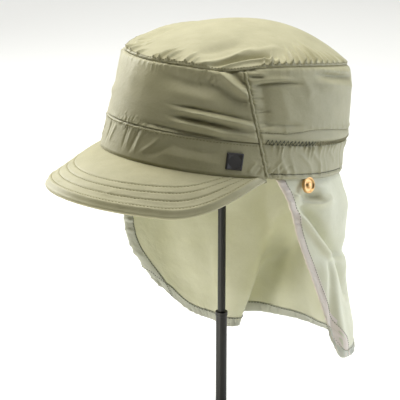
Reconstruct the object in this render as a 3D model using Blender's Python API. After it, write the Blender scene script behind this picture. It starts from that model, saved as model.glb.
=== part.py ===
"""A nylon cadet cap with a neck cape, sitting on a plain display stand.

Metres, +Z up, the peak towards -Y and the wearer's left towards +X. The origin is the middle of the
stand's foot, on the surface that the foot stands on. The cap is drawn level in a frame of its own,
whose origin is the middle of the band's lower edge, and is then tipped back on the stand.
"""

import math
from functools import lru_cache

import bmesh
import bpy
from mathutils import Matrix, Vector

# Cap, drawn level: the band's lower edge is an oval of this length and width
HEAD_LENGTH = 0.200
HEAD_WIDTH = 0.1686
BAND_HEIGHT = 0.025
SIDE_HEIGHT = 0.0785
DOME_HEIGHT = 0.0276
APEX_BACK = 0.0176
APEX_SIDE = 0.007
DOME_FALL_FRONT = 1.75
DOME_FALL_BACK = 2.05
BAND_LIFT = 0.248
TIP_BACK_DEG = 10.4

# Cloth and the clearance that sewn pieces keep
CLOTH = 0.0012
BAND_CLOTH = 0.0016
CAPE_CLOTH = 0.0011
BINDING_CLOTH = 0.0021
SEAM_GAP = 0.0004

# The side seams lean forwards from the band to the top
SEAM_FOOT_DEG = 71.8
SEAM_HEAD_DEG = 54.9
TOP_SEAM_PITCH = -0.048
TOP_SEAM_SADDLE = -0.039

# Peak
PEAK_REACH = 0.047
PEAK_DROP = 0.0285
PEAK_THICKNESS = 0.0030
PEAK_ARCH = 0.0036
PEAK_FLARE = 0.0157
PEAK_SHOULDER = 0.046
PEAK_NOSE = 0.062

# Neck cape
CAPE_DROP = 0.1665
CAPE_FRONT_DEG = 77.3
CAPE_TUCK = 0.006
HEM_WIDTH = 0.0075

# Patch and press studs
PATCH_SIDE = 0.0125
PATCH_THICKNESS = 0.0012
PATCH_ANGLE_DEG = 55.6
PATCH_HEIGHT_SHARE = 0.43
STUD_RADIUS = 0.0061
STUD_PLACE = (0.074, 0.042)

# Stand
FOOT_RADIUS = 0.065
FOOT_THICKNESS = 0.006
FOOT_CHAMFER = 0.002
TUBE_RADIUS = 0.0044
TUBE_TOP = 0.1195
COLLAR_RADIUS = 0.0048
COLLAR_HEIGHT = 0.0032
FLANGE_RADIUS = 0.013
FLANGE_HEIGHT = 0.004
ROD_RADIUS = 0.0031
ROD_ENGAGEMENT = 0.040
REST_RADIUS = 0.042
REST_EDGE = 0.0025
REST_FACE_RADIUS = 0.070
HUB_RADIUS = 0.0080
HUB_LENGTH = 0.010
STAND_GAP = 0.0003

# Mesh fineness
TOP_SEGMENTS = 80
TOP_RINGS = (1.0, 0.965, 0.92, 0.85, 0.74, 0.56, 0.32)
FRONT_COLUMNS = 34
BACK_COLUMNS = 44
SIDE_ROWS = 7
BAND_ROWS = 3
PEAK_COLUMNS = 34
PEAK_ROWS = 5
CAPE_COLUMNS = 40
CAPE_ROWS = 10
TURNED_STEPS = 32

# Sections of the crown's side: height as a share of the seam's height there, and girth as a share
# of the band's lower edge, in front and at the back
SIDE_SECTIONS = (
    {"height": 0.000, "front": 1.000, "back": 1.000},
    {"height": 0.300, "front": 0.976, "back": 0.992},
    {"height": 0.345, "front": 0.974, "back": 1.004},
    {"height": 0.420, "front": 0.967, "back": 1.006},
    {"height": 0.650, "front": 0.950, "back": 0.995},
    {"height": 0.850, "front": 0.932, "back": 0.974},
    {"height": 0.950, "front": 0.920, "back": 0.951},
    {"height": 1.000, "front": 0.906, "back": 0.926},
)

# Places where the top seam sags: angle from the front, spread, and depth as a share of SIDE_HEIGHT
SEAM_SAGS = (
    {"angle": 46.0, "spread": 15.0, "depth": 0.045},
    {"angle": -44.0, "spread": 18.0, "depth": 0.030},
    {"angle": 176.0, "spread": 26.0, "depth": 0.018},
)

# Folds of the crown's side, each a line from one place to another: angle from the front, height as
# a share of the seam's height, half-width as a share of SIDE_HEIGHT, and rise as a share of FOLD_RISE
FOLD_RISE = 0.0032
SIDE_FOLDS = (
    {"angle_a": 34, "height_a": 0.92, "angle_b": 62, "height_b": 0.66, "width": 0.085, "rise": 0.8},
    {"angle_a": 20, "height_a": 0.78, "angle_b": 52, "height_b": 0.76, "width": 0.120, "rise": -0.9},
    {"angle_a": 22, "height_a": 0.60, "angle_b": 60, "height_b": 0.54, "width": 0.070, "rise": 0.7},
    {"angle_a": 24, "height_a": 0.50, "angle_b": 58, "height_b": 0.45, "width": 0.050, "rise": -0.8},
    {"angle_a": 26, "height_a": 0.42, "angle_b": 56, "height_b": 0.37, "width": 0.055, "rise": 0.7},
    {"angle_a": -24, "height_a": 0.66, "angle_b": -58, "height_b": 0.60, "width": 0.090, "rise": -0.5},
    {"angle_a": -26, "height_a": 0.50, "angle_b": -56, "height_b": 0.46, "width": 0.065, "rise": 0.4},
    {"angle_a": -34, "height_a": 0.90, "angle_b": -60, "height_b": 0.76, "width": 0.080, "rise": 0.3},
    {"angle_a": 70, "height_a": 0.72, "angle_b": 84, "height_b": 0.80, "width": 0.050, "rise": -0.6},
    {"angle_a": 108, "height_a": 0.52, "angle_b": 122, "height_b": 0.86, "width": 0.130, "rise": -0.5},
    {"angle_a": 150, "height_a": 0.50, "angle_b": 158, "height_b": 0.88, "width": 0.120, "rise": -0.5},
    {"angle_a": 196, "height_a": 0.48, "angle_b": 190, "height_b": 0.88, "width": 0.130, "rise": -0.6},
    {"angle_a": 238, "height_a": 0.52, "angle_b": 230, "height_b": 0.86, "width": 0.120, "rise": -0.5},
)

# Folds of the top, each a line between two places: shares of the half-width and half-length
TOP_FOLDS = (
    {"x_a": 0.20, "y_a": -0.76, "x_b": 0.42, "y_b": -0.30, "width": 0.090, "rise": 0.7},
    {"x_a": 0.34, "y_a": -0.76, "x_b": 0.62, "y_b": -0.30, "width": 0.080, "rise": -0.8},
    {"x_a": 0.50, "y_a": -0.62, "x_b": 0.84, "y_b": -0.14, "width": 0.070, "rise": 0.8},
    {"x_a": -0.30, "y_a": -0.74, "x_b": -0.40, "y_b": -0.24, "width": 0.100, "rise": -0.7},
    {"x_a": -0.62, "y_a": -0.44, "x_b": -0.60, "y_b": 0.20, "width": 0.100, "rise": 0.6},
    {"x_a": -0.10, "y_a": 0.72, "x_b": 0.30, "y_b": 0.50, "width": 0.110, "rise": -0.5},
)

# The top is gathered into its seam by this many puckers
TOP_PUCKERS = 20
TOP_PUCKER_RISE = 0.0009
TOP_PUCKER_REACH = 0.085

# The elastic gathers the back of the band, and the front's corners a little
BAND_PUCKERS = 11
BAND_PUCKER_RISE = 0.0007

# The cape's free edges. Shares: x of the band's half-width, y of its half-length, z of CAPE_DROP
CAPE_NEAR_EDGE = (
    {"at": 0.00, "x": 0.940, "y": -0.265, "z": 0.000},
    {"at": 0.14, "x": 0.995, "y": -0.160, "z": 0.127},
    {"at": 0.34, "x": 1.005, "y": -0.064, "z": 0.294},
    {"at": 0.55, "x": 1.000, "y": 0.082, "z": 0.470},
    {"at": 0.77, "x": 0.990, "y": 0.238, "z": 0.657},
    {"at": 1.00, "x": 0.955, "y": 0.430, "z": 0.882},
)
CAPE_FAR_EDGE = (
    {"at": 0.00, "x": -0.940, "y": -0.265, "z": 0.000},
    {"at": 0.25, "x": -0.990, "y": -0.310, "z": 0.196},
    {"at": 0.50, "x": -1.000, "y": -0.310, "z": 0.382},
    {"at": 0.72, "x": -0.990, "y": -0.250, "z": 0.549},
    {"at": 1.00, "x": -0.960, "y": -0.030, "z": 0.764},
)
CAPE_HEM = (
    {"at": 0.00, "x": 0.955, "y": 0.430, "z": 0.882},
    {"at": 0.05, "x": 0.925, "y": 0.520, "z": 0.965},
    {"at": 0.10, "x": 0.890, "y": 0.640, "z": 0.995},
    {"at": 0.16, "x": 0.830, "y": 0.780, "z": 1.000},
    {"at": 0.25, "x": 0.580, "y": 0.930, "z": 0.993},
    {"at": 0.34, "x": 0.250, "y": 0.985, "z": 1.006},
    {"at": 0.42, "x": -0.110, "y": 0.960, "z": 1.006},
    {"at": 0.49, "x": -0.325, "y": 0.850, "z": 1.004},
    {"at": 0.55, "x": -0.355, "y": 0.700, "z": 1.005},
    {"at": 0.62, "x": -0.270, "y": 0.500, "z": 1.012},
    {"at": 0.70, "x": -0.400, "y": 0.390, "z": 1.022},
    {"at": 0.80, "x": -0.600, "y": 0.400, "z": 1.025},
    {"at": 0.90, "x": -0.810, "y": 0.240, "z": 0.970},
    {"at": 1.00, "x": -0.960, "y": -0.030, "z": 0.764},
)

# Folds of the cape, each a line from one place to another, as shares across and down it, with the
# half-width as a share of the cape's width and the rise outwards as a share of CAPE_FOLD_RISE
CAPE_FOLD_RISE = 0.0080
CAPE_FOLDS = (
    {"across_a": 0.13, "down_a": 0.02, "across_b": 0.14, "down_b": 0.14, "width": 0.035, "rise": 0.30},
    {"across_a": 0.05, "down_a": 0.12, "across_b": 0.20, "down_b": 0.46, "width": 0.045, "rise": -0.5},
    {"across_a": 0.25, "down_a": 0.12, "across_b": 0.27, "down_b": 0.55, "width": 0.055, "rise": 0.5},
    {"across_a": 0.10, "down_a": 0.45, "across_b": 0.08, "down_b": 0.98, "width": 0.040, "rise": 0.6},
    {"across_a": 0.24, "down_a": 0.50, "across_b": 0.22, "down_b": 0.95, "width": 0.060, "rise": 0.6},
    {"across_a": 0.36, "down_a": 0.25, "across_b": 0.34, "down_b": 0.95, "width": 0.050, "rise": -0.6},
    {"across_a": 0.72, "down_a": 0.30, "across_b": 0.72, "down_b": 0.95, "width": 0.060, "rise": 0.7},
    {"across_a": 0.88, "down_a": 0.25, "across_b": 0.86, "down_b": 0.85, "width": 0.060, "rise": 0.5},
)

HALF_LENGTH = HEAD_LENGTH / 2
HALF_WIDTH = HEAD_WIDTH / 2
TIP = Matrix.Rotation(math.radians(-TIP_BACK_DEG), 4, "X")


def clear_scene():
    for each in list(bpy.data.objects):
        bpy.data.objects.remove(each)


def tipped(point):
    """A point of the level cap, where it is once the cap is tipped back on the stand."""
    return TIP @ Vector(point) + Vector((0.0, 0.0, BAND_LIFT))


def mix(a, b, share):
    return a + (b - a) * share


def eased(low, high, value):
    """0 below low, 1 above high and a smooth step between."""
    share = min(1.0, max(0.0, (value - low) / (high - low)))
    return share * share * (3 - 2 * share)


def through(rows, key, column, value):
    """A smooth curve through a table's rows: the column's value where the key has this value."""
    last = len(rows) - 1
    at = [row[key] for row in rows]
    heights = [row[column] for row in rows]
    value = min(at[-1], max(at[0], value))
    i = next(k for k in range(last) if value <= at[k + 1] or k == last - 1)

    def slope(k):
        low, high = max(0, k - 1), min(last, k + 1)
        return (heights[high] - heights[low]) / (at[high] - at[low])

    span = at[i + 1] - at[i]
    t = (value - at[i]) / span
    rise = heights[i + 1] - heights[i]
    a, b = slope(i) * span, slope(i + 1) * span
    return heights[i] + t * (a + t * (3 * rise - 2 * a - b + t * (a + b - 2 * rise)))


def ridge(u, v, u_a, v_a, u_b, v_b, width):
    """1 on the line from a to b, falling smoothly to 0 beside it and past its ends."""
    along_u, along_v = u_b - u_a, v_b - v_a
    length = math.hypot(along_u, along_v)
    t = ((u - u_a) * along_u + (v - v_a) * along_v) / length**2
    off = abs((u - u_a) * along_v - (v - v_a) * along_u) / length
    past = max(0.0, -t, t - 1) * length
    taper = eased(0.0, 0.3, min(t + 0.15, 1.15 - t)) if -0.15 < t < 1.15 else 0.0
    return taper * math.exp(-((off / width) ** 2) - (past / width) ** 2)


def from_front(angle, centre):
    """The turn in degrees from centre to angle, from -180 to 180."""
    return (angle - centre + 180.0) % 360.0 - 180.0


def seam_height(angle):
    """Height of the top seam above the band's lower edge, at an angle in degrees from the front."""
    turn = math.radians(angle)
    share = 1 + TOP_SEAM_PITCH * math.cos(turn) + TOP_SEAM_SADDLE * math.cos(2 * turn)
    for sag in SEAM_SAGS:
        share -= sag["depth"] * math.exp(-((from_front(angle, sag["angle"]) / sag["spread"]) ** 2))
    return SIDE_HEIGHT * share


def side_fold(angle, height_share):
    """How far the folds push the crown's side out, at an angle and a share of the seam's height."""
    per_degree = math.radians(1.0) * (HALF_LENGTH + HALF_WIDTH) / 2 / SIDE_HEIGHT
    push = 0.0
    for fold in SIDE_FOLDS:
        centre = fold["angle_a"]
        push += fold["rise"] * ridge(
            from_front(angle, centre) * per_degree, height_share,
            0.0, fold["height_a"],
            from_front(fold["angle_b"], centre) * per_degree, fold["height_b"],
            fold["width"],
        )
    return push * FOLD_RISE * eased(0.33, 0.40, height_share) * eased(1.0, 0.9, height_share)


def band_pucker(angle, height_share):
    """The elastic's gathers, strongest under the band's upper edge and round the back."""
    at_back = eased(78.0, 100.0, abs(from_front(angle, 0.0)))
    wave = math.cos(math.radians(angle) * 2 * BAND_PUCKERS)
    return BAND_PUCKER_RISE * at_back * wave * math.sin(math.pi * min(1.0, height_share / 0.32)) ** 2


def oval(angle, girth, inset, height):
    """A point of the level cap: the band's oval scaled by girth and drawn in by inset."""
    turn = math.radians(angle)
    x = (HALF_WIDTH * girth - inset) * math.sin(turn)
    y = -(HALF_LENGTH * girth - inset) * math.cos(turn)
    return Vector((x, y, height))


def side_point(angle, height, inset=0.0):
    """A point of the band's or the crown's side, at an angle and a height above the band's edge."""
    share = min(1.0, height / seam_height(angle))
    at_back = eased(62.0, 105.0, abs(from_front(angle, 0.0)))
    front = through(SIDE_SECTIONS, "height", "front", share)
    back = through(SIDE_SECTIONS, "height", "back", share)
    push = side_fold(angle, share) + band_pucker(angle, share)
    return oval(angle, mix(front, back, at_back), inset - push, height)


def seam_angle(height_share):
    """Where the side seam is, in degrees from the front, at a share of the top seam's height."""
    return mix(SEAM_FOOT_DEG, SEAM_HEAD_DEG, height_share)


def seam_gap_deg():
    """Half of the sewing clearance, as an angle round the band."""
    return math.degrees(SEAM_GAP / 2 / HALF_WIDTH)


def top_point(angle, share, drop):
    """A point of the domed top: share is 1 at the seam and 0 at the apex, drop is down into it."""
    rim = side_point(angle, seam_height(angle))
    rim.z += CLOTH + SEAM_GAP
    apex = Vector((APEX_SIDE, APEX_BACK, SIDE_HEIGHT + DOME_HEIGHT))
    x, y = mix(apex.x, rim.x, share), mix(apex.y, rim.y, share)
    at_back = eased(40.0, 140.0, abs(from_front(angle, 0.0)))
    z = mix(apex.z, rim.z, share ** mix(DOME_FALL_FRONT, DOME_FALL_BACK, at_back))
    for fold in TOP_FOLDS:
        shape = ridge(
            x / HALF_WIDTH, y / HALF_LENGTH,
            fold["x_a"], fold["y_a"], fold["x_b"], fold["y_b"], fold["width"],
        )
        z += fold["rise"] * FOLD_RISE * shape * eased(1.0, 0.93, share)
    inward = (1 - share) / TOP_PUCKER_REACH
    wave = math.cos(math.radians(angle) * TOP_PUCKERS)
    z += TOP_PUCKER_RISE * wave * inward * math.exp(1 - inward)
    return Vector((x, y, z - drop))


def material(name, colour, roughness, metallic=0.0):
    made = bpy.data.materials.new(name)
    made.use_nodes = True
    shader = made.node_tree.nodes["Principled BSDF"]
    shader.inputs["Base Color"].default_value = (*colour, 1.0)
    shader.inputs["Roughness"].default_value = roughness
    shader.inputs["Metallic"].default_value = metallic
    return made


def finished(name, mesh, finish, parent=None):
    """Links a mesh as a named object with its material, with its faces pointing out."""
    shape = bmesh.new()
    shape.from_mesh(mesh)
    bmesh.ops.recalc_face_normals(shape, faces=shape.faces)
    shape.to_mesh(mesh)
    shape.free()
    mesh.materials.append(finish)
    mesh.shade_smooth()
    mesh.set_sharp_from_angle(angle=math.radians(40.0))
    made = bpy.data.objects.new(name, mesh)
    made.parent = parent
    bpy.context.collection.objects.link(made)
    return made


def sheet_mesh(name, outer, inner, columns, rows):
    """A closed wall between two sheets. Each gives the point at a share across and a share up."""
    shape = bmesh.new()
    faces = []
    for surface in (outer, inner):
        grid = [
            [shape.verts.new(surface(i / columns, j / rows)) for i in range(columns + 1)]
            for j in range(rows + 1)
        ]
        for j in range(rows):
            for i in range(columns):
                shape.faces.new((grid[j][i], grid[j][i + 1], grid[j + 1][i + 1], grid[j + 1][i]))
        rim = grid[0] + [row[-1] for row in grid[1:]] + grid[-1][-2::-1]
        rim += [row[0] for row in grid[-2:0:-1]]
        faces.append(rim)
    near, far = faces
    for k, vertex in enumerate(near):
        after = (k + 1) % len(near)
        shape.faces.new((vertex, far[k], far[after], near[after]))
    mesh = bpy.data.meshes.new(name)
    shape.to_mesh(mesh)
    shape.free()
    return mesh


def dome_mesh(name, outer, inner, segments, rings):
    """A closed domed wall from its rim to its apex. Each sheet gives the point at an angle and share."""
    shape = bmesh.new()
    rims = []
    for surface in (outer, inner):
        loops = [
            [shape.verts.new(surface(360.0 * i / segments, share)) for i in range(segments)]
            for share in rings
        ]
        apex = shape.verts.new(surface(0.0, 0.0))
        for low, high in zip(loops, loops[1:]):
            for i in range(segments):
                after = (i + 1) % segments
                shape.faces.new((low[i], low[after], high[after], high[i]))
        for i in range(segments):
            shape.faces.new((loops[-1][i], loops[-1][(i + 1) % segments], apex))
        rims.append(loops[0])
    near, far = rims
    for i in range(segments):
        after = (i + 1) % segments
        shape.faces.new((near[i], far[i], far[after], near[after]))
    mesh = bpy.data.meshes.new(name)
    shape.to_mesh(mesh)
    shape.free()
    return mesh


def turned_mesh(name, profile, steps=TURNED_STEPS):
    """A solid of revolution about Z. The profile's radius and height pairs start and end on the axis."""
    shape = bmesh.new()
    points = [shape.verts.new((radius, 0.0, height)) for radius, height in profile]
    edges = [shape.edges.new(pair) for pair in zip(points, points[1:])]
    bmesh.ops.spin(
        shape, geom=points + edges, cent=(0, 0, 0), axis=(0, 0, 1),
        angle=math.tau, steps=steps, use_merge=True, use_duplicate=False,
    )
    bmesh.ops.remove_doubles(shape, verts=shape.verts, dist=1e-6)
    mesh = bpy.data.meshes.new(name)
    shape.to_mesh(mesh)
    shape.free()
    return mesh


def side_panel(name, finish, angles, low, high, rows, columns, wall):
    """A panel of the band or crown. angles, low and high say where its edges are."""

    def surface(inset):
        def point(across, up):
            middle = mix(*angles(0.5), across)
            height = mix(low(middle), high(middle), up)
            share = height / seam_height(middle)
            angle = mix(*angles(share), across)
            return tipped(side_point(angle, mix(low(angle), high(angle), up), inset))

        return point

    mesh = sheet_mesh(name, surface(0.0), surface(wall), columns, rows)
    return finished(name, mesh, finish)


def front_angles(share):
    edge = seam_angle(share) - seam_gap_deg()
    return -edge, edge


def back_angles(share):
    edge = seam_angle(share) + seam_gap_deg()
    return edge, 360.0 - edge


def band_foot(_angle):
    return 0.0


def band_head(_angle):
    return BAND_HEIGHT - SEAM_GAP / 2


def crown_foot(_angle):
    return BAND_HEIGHT + SEAM_GAP / 2


def build_crown(shell, band):
    """The top and the four side panels."""
    mesh = dome_mesh(
        "crown_top",
        lambda angle, share: tipped(top_point(angle, share, 0.0)),
        lambda angle, share: tipped(top_point(angle, share, CLOTH)),
        TOP_SEGMENTS, TOP_RINGS,
    )
    finished("crown_top", mesh, shell)
    for part, angles, columns in (("front", front_angles, FRONT_COLUMNS), ("back", back_angles, BACK_COLUMNS)):
        side_panel(f"crown_{part}", shell, angles, crown_foot, seam_height, SIDE_ROWS, columns, CLOTH)
        side_panel(f"band_{part}", band, angles, band_foot, band_head, BAND_ROWS, columns, BAND_CLOTH)


def peak_outline(share):
    """The peak's rim in plan, from the wearer's right end at -1 to the left end at 1."""
    end = oval(SEAM_FOOT_DEG, 1.0, BAND_CLOTH, 0.0)
    nose = -(HALF_LENGTH + PEAK_REACH)
    anchors = (
        (end.x, end.y),
        (end.x + PEAK_FLARE, end.y - PEAK_SHOULDER),
        (PEAK_NOSE, nose),
        (0.0, nose),
    )
    t = 1 - abs(share)
    weights = ((1 - t) ** 3, 3 * t * (1 - t) ** 2, 3 * t * t * (1 - t), t**3)
    x = sum(weight * anchor[0] for weight, anchor in zip(weights, anchors))
    y = sum(weight * anchor[1] for weight, anchor in zip(weights, anchors))
    drop = math.sin(math.radians(90.0) * min(1.0, t / 0.55)) ** 1.6
    return Vector((math.copysign(x, share), y, -SEAM_GAP - PEAK_DROP * drop))


def peak_point(share, out, down):
    """A point of the peak: share along it from -1 to 1, out from the seam to the rim, down into it."""
    seam = oval(SEAM_FOOT_DEG * share, 1.0, BAND_CLOTH, -SEAM_GAP)
    rim = peak_outline(share)
    point = seam.lerp(rim, out)
    point.z += PEAK_ARCH * math.sin(math.pi * out) * (1 - share**4)
    thickness = PEAK_THICKNESS * (0.72 + 0.28 * math.cos(math.pi * out / 2))
    return point - Vector((0.0, 0.0, down * thickness))


def build_peak(cloth):
    def surface(down):
        return lambda across, out: tipped(peak_point(2 * across - 1, out, down))

    mesh = sheet_mesh("peak", surface(0.0), surface(1.0), PEAK_COLUMNS, PEAK_ROWS)
    finished("peak", mesh, cloth)


def cape_edge(rows, at):
    """A point of one of the cape's free edges, hanging plumb from the tipped band."""
    x = HALF_WIDTH * through(rows, "at", "x", at)
    y = HALF_LENGTH * through(rows, "at", "y", at)
    drop = CAPE_DROP * through(rows, "at", "z", at)
    head = tipped((x, -HALF_LENGTH * math.cos(math.radians(CAPE_FRONT_DEG)), 0.0)).z
    return Vector((x, y, head - drop))


def cape_head(across, height=-SEAM_GAP):
    """A point of the cape's upper edge, which is sewn inside the band."""
    angle = mix(CAPE_FRONT_DEG, 360.0 - CAPE_FRONT_DEG, across)
    inset = BAND_CLOTH + SEAM_GAP + CAPE_CLOTH / 2 + BAND_PUCKER_RISE
    return tipped(oval(angle, 1.0, inset, height))


def cape_smooth(across, down):
    """The cape without its folds: a patch that blends its four edges."""
    near, far = cape_edge(CAPE_NEAR_EDGE, down), cape_edge(CAPE_FAR_EDGE, down)
    head, hem = cape_head(across), cape_edge(CAPE_HEM, across)
    near_head, far_head = cape_head(0.0), cape_head(1.0)
    near += (near_head - cape_edge(CAPE_NEAR_EDGE, 0.0)) * (1 - down)
    far += (far_head - cape_edge(CAPE_FAR_EDGE, 0.0)) * (1 - down)
    near_foot, far_foot = cape_edge(CAPE_HEM, 0.0), cape_edge(CAPE_HEM, 1.0)
    near += (near_foot - cape_edge(CAPE_NEAR_EDGE, 1.0)) * down
    far += (far_foot - cape_edge(CAPE_FAR_EDGE, 1.0)) * down
    corners = near_head.lerp(far_head, across).lerp(near_foot.lerp(far_foot, across), down)
    return head.lerp(hem, down) + near.lerp(far, across) - corners


def cape_normal(across, down, step=0.01):
    """The outward direction of the smooth cape."""
    left, right = max(0.0, across - step), min(1.0, across + step)
    above, below = max(0.0, down - step), min(1.0, down + step)
    along = cape_smooth(right, down) - cape_smooth(left, down)
    plumb = cape_smooth(across, below) - cape_smooth(across, above)
    return plumb.cross(along).normalized()


def cape_point(across, down, out):
    """A point of the cape with its folds, out from its middle surface."""
    push = out
    for fold in CAPE_FOLDS:
        shape = ridge(
            across, down, fold["across_a"], fold["down_a"], fold["across_b"], fold["down_b"], fold["width"]
        )
        push += CAPE_FOLD_RISE * fold["rise"] * shape * eased(0.0, 0.05, down)
    return cape_smooth(across, down) + cape_normal(across, down) * push


@lru_cache(maxsize=None)
def cape_width(down):
    """The cape's length across at this share down."""
    return sum((cape_smooth((k + 1) / 12, down) - cape_smooth(k / 12, down)).length for k in range(12))


@lru_cache(maxsize=None)
def cape_depth(across):
    """The cape's length down at this share across."""
    return sum((cape_smooth(across, (k + 1) / 6) - cape_smooth(across, k / 6)).length for k in range(6))


def cape_framed(across, down, extra=0.0):
    """Where a place of the cape's main sheet is on the whole cape, inside the hem."""
    side = (HEM_WIDTH + extra) / cape_width(down)
    foot = (HEM_WIDTH + extra) / cape_depth(across)
    return mix(side, 1 - side, across), down * (1 - foot)


def build_cape(cloth, tape):
    """The main sheet, tucked inside the band, and the doubled hem round its free edges."""

    def sheet(out):
        def point(across, down):
            row = down * CAPE_ROWS
            if row < 1.0:
                framed_across, _ = cape_framed(across, 0.0, SEAM_GAP)
                head = cape_head(framed_across, mix(CAPE_TUCK, -SEAM_GAP, row))
                return head + cape_normal(framed_across, 0.0) * out
            share = (row - 1.0) / (CAPE_ROWS - 1.0)
            framed_across, framed_down = cape_framed(across, share, SEAM_GAP)
            return cape_point(framed_across, framed_down, out)

        return point

    half = CAPE_CLOTH / 2
    mesh = sheet_mesh("neck_cape", sheet(half), sheet(-half), CAPE_COLUMNS, CAPE_ROWS)
    finished("neck_cape", mesh, cloth)

    side_steps = CAPE_ROWS - 1
    steps = 2 * side_steps + CAPE_COLUMNS

    def hem(out):
        def point(along, inward):
            place = along * steps
            if place <= side_steps:
                across, down = 0.0, place / side_steps
            elif place <= side_steps + CAPE_COLUMNS:
                across, down = (place - side_steps) / CAPE_COLUMNS, 1.0
            else:
                across, down = 1.0, (steps - place) / side_steps
            inner_across, inner_down = cape_framed(across, down)
            return cape_point(mix(across, inner_across, inward), mix(down, inner_down, inward), out)

        return point

    half = BINDING_CLOTH / 2
    mesh = sheet_mesh("cape_hem", hem(half), hem(-half), steps, 1)
    finished("cape_hem", mesh, tape)


def patch_mesh():
    """A square patch that follows the band's round."""
    height = BAND_HEIGHT * PATCH_HEIGHT_SHARE
    half_turn = math.degrees(PATCH_SIDE / 2 / (HALF_LENGTH + HALF_WIDTH) * 2)

    def surface(out):
        def point(across, up):
            angle = PATCH_ANGLE_DEG + mix(-half_turn, half_turn, across)
            return tipped(side_point(angle, height + (up - 0.5) * PATCH_SIDE, -out))

        return point

    return sheet_mesh("patch", surface(SEAM_GAP + PATCH_THICKNESS), surface(SEAM_GAP), 4, 2)


def stud_mesh(name):
    """A press stud's face: a rolled ring, a sunk floor and a round post, along its own +Z."""
    r = STUD_RADIUS
    profile = (
        (0.0, 0.0), (0.93 * r, 0.0), (1.00 * r, 0.12 * r), (0.96 * r, 0.30 * r), (0.84 * r, 0.36 * r),
        (0.72 * r, 0.28 * r), (0.66 * r, 0.14 * r), (0.30 * r, 0.12 * r), (0.24 * r, 0.20 * r),
        (0.22 * r, 0.38 * r), (0.13 * r, 0.46 * r), (0.0, 0.48 * r),
    )
    return turned_mesh(name, profile, 20)


def build_studs(brass):
    """A press stud at each side of the cape, square to the cloth and seated on its highest place there."""
    across, down = STUD_PLACE
    for name, share in (("stud_left", across), ("stud_right", 1.0 - across)):
        cloth = [
            [cape_point(share + 0.004 * i, down + 0.005 * j, CAPE_CLOTH / 2) for i in range(-9, 10)]
            for j in range(-9, 10)
        ]
        centre = cloth[9][9]
        facing = (cloth[12][9] - cloth[6][9]).cross(cloth[9][12] - cloth[9][6]).normalized()
        near = [point for row in cloth for point in row if (point - centre).length < STUD_RADIUS]
        seat = max((point - centre).dot(facing) for point in near) + SEAM_GAP
        stud = finished(name, stud_mesh(name), brass)
        stud.rotation_mode = "QUATERNION"
        stud.rotation_quaternion = facing.to_track_quat("Z", "Y")
        stud.location = centre + facing * seat


def rest_fall(radius):
    """How far the rest's face falls below its middle at a radius."""
    return REST_FACE_RADIUS - math.sqrt(REST_FACE_RADIUS**2 - radius**2)


def rest_lift():
    """The height at which the rest's face comes up against the facets inside the cap's top."""
    lift = math.inf
    shares = TOP_RINGS + (0.0,)
    loops = [
        [tipped(top_point(360.0 * k / TOP_SEGMENTS, share, CLOTH)) for k in range(TOP_SEGMENTS)]
        for share in shares
    ]
    for low, high in zip(loops, loops[1:]):
        for k in range(TOP_SEGMENTS):
            after = (k + 1) % TOP_SEGMENTS
            for across in (0.0, 0.5, 1.0):
                for up in (0.0, 0.25, 0.5, 0.75, 1.0):
                    inside = low[k].lerp(low[after], across).lerp(high[k].lerp(high[after], across), up)
                    radius = math.hypot(inside.x, inside.y)
                    if radius < REST_RADIUS:
                        lift = min(lift, inside.z + rest_fall(radius))
    return lift - STAND_GAP


def build_stand(black, steel, plastic):
    """Foot, tube with its collar, sliding rod and the domed rest that carries the cap."""
    chamfer = FOOT_RADIUS - FOOT_CHAMFER
    foot = (
        (0.0, FOOT_THICKNESS), (chamfer, FOOT_THICKNESS), (FOOT_RADIUS, FOOT_THICKNESS - FOOT_CHAMFER),
        (FOOT_RADIUS, 0.0), (0.0, 0.0),
    )
    finished("stand_foot", turned_mesh("stand_foot", foot, 48), black)
    tube_base = FOOT_THICKNESS + STAND_GAP
    bore = ROD_RADIUS + STAND_GAP
    bore_floor = TUBE_TOP - ROD_ENGAGEMENT - STAND_GAP
    tube = (
        (0.0, bore_floor), (bore, bore_floor), (bore, TUBE_TOP), (COLLAR_RADIUS, TUBE_TOP),
        (COLLAR_RADIUS, TUBE_TOP - COLLAR_HEIGHT), (TUBE_RADIUS, TUBE_TOP - COLLAR_HEIGHT - 0.0004),
        (TUBE_RADIUS, tube_base + FLANGE_HEIGHT), (FLANGE_RADIUS, tube_base + FLANGE_HEIGHT * 0.5),
        (FLANGE_RADIUS, tube_base), (0.0, tube_base),
    )
    finished("stand_tube", turned_mesh("stand_tube", tube, 24), black)
    lift = rest_lift()
    rest = [(REST_RADIUS * k / 5, lift - rest_fall(REST_RADIUS * k / 5)) for k in range(6)]
    base = rest[-1][1] - REST_EDGE
    hub_foot = base - HUB_LENGTH
    rest += [(REST_RADIUS, base), (HUB_RADIUS, base), (HUB_RADIUS, hub_foot), (0.0, hub_foot)]
    finished("stand_rest", turned_mesh("stand_rest", rest), plastic)
    rod = (
        (0.0, hub_foot - STAND_GAP), (ROD_RADIUS, hub_foot - STAND_GAP),
        (ROD_RADIUS, TUBE_TOP - ROD_ENGAGEMENT), (0.0, TUBE_TOP - ROD_ENGAGEMENT),
    )
    finished("stand_rod", turned_mesh("stand_rod", rod, 20), steel)


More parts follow.
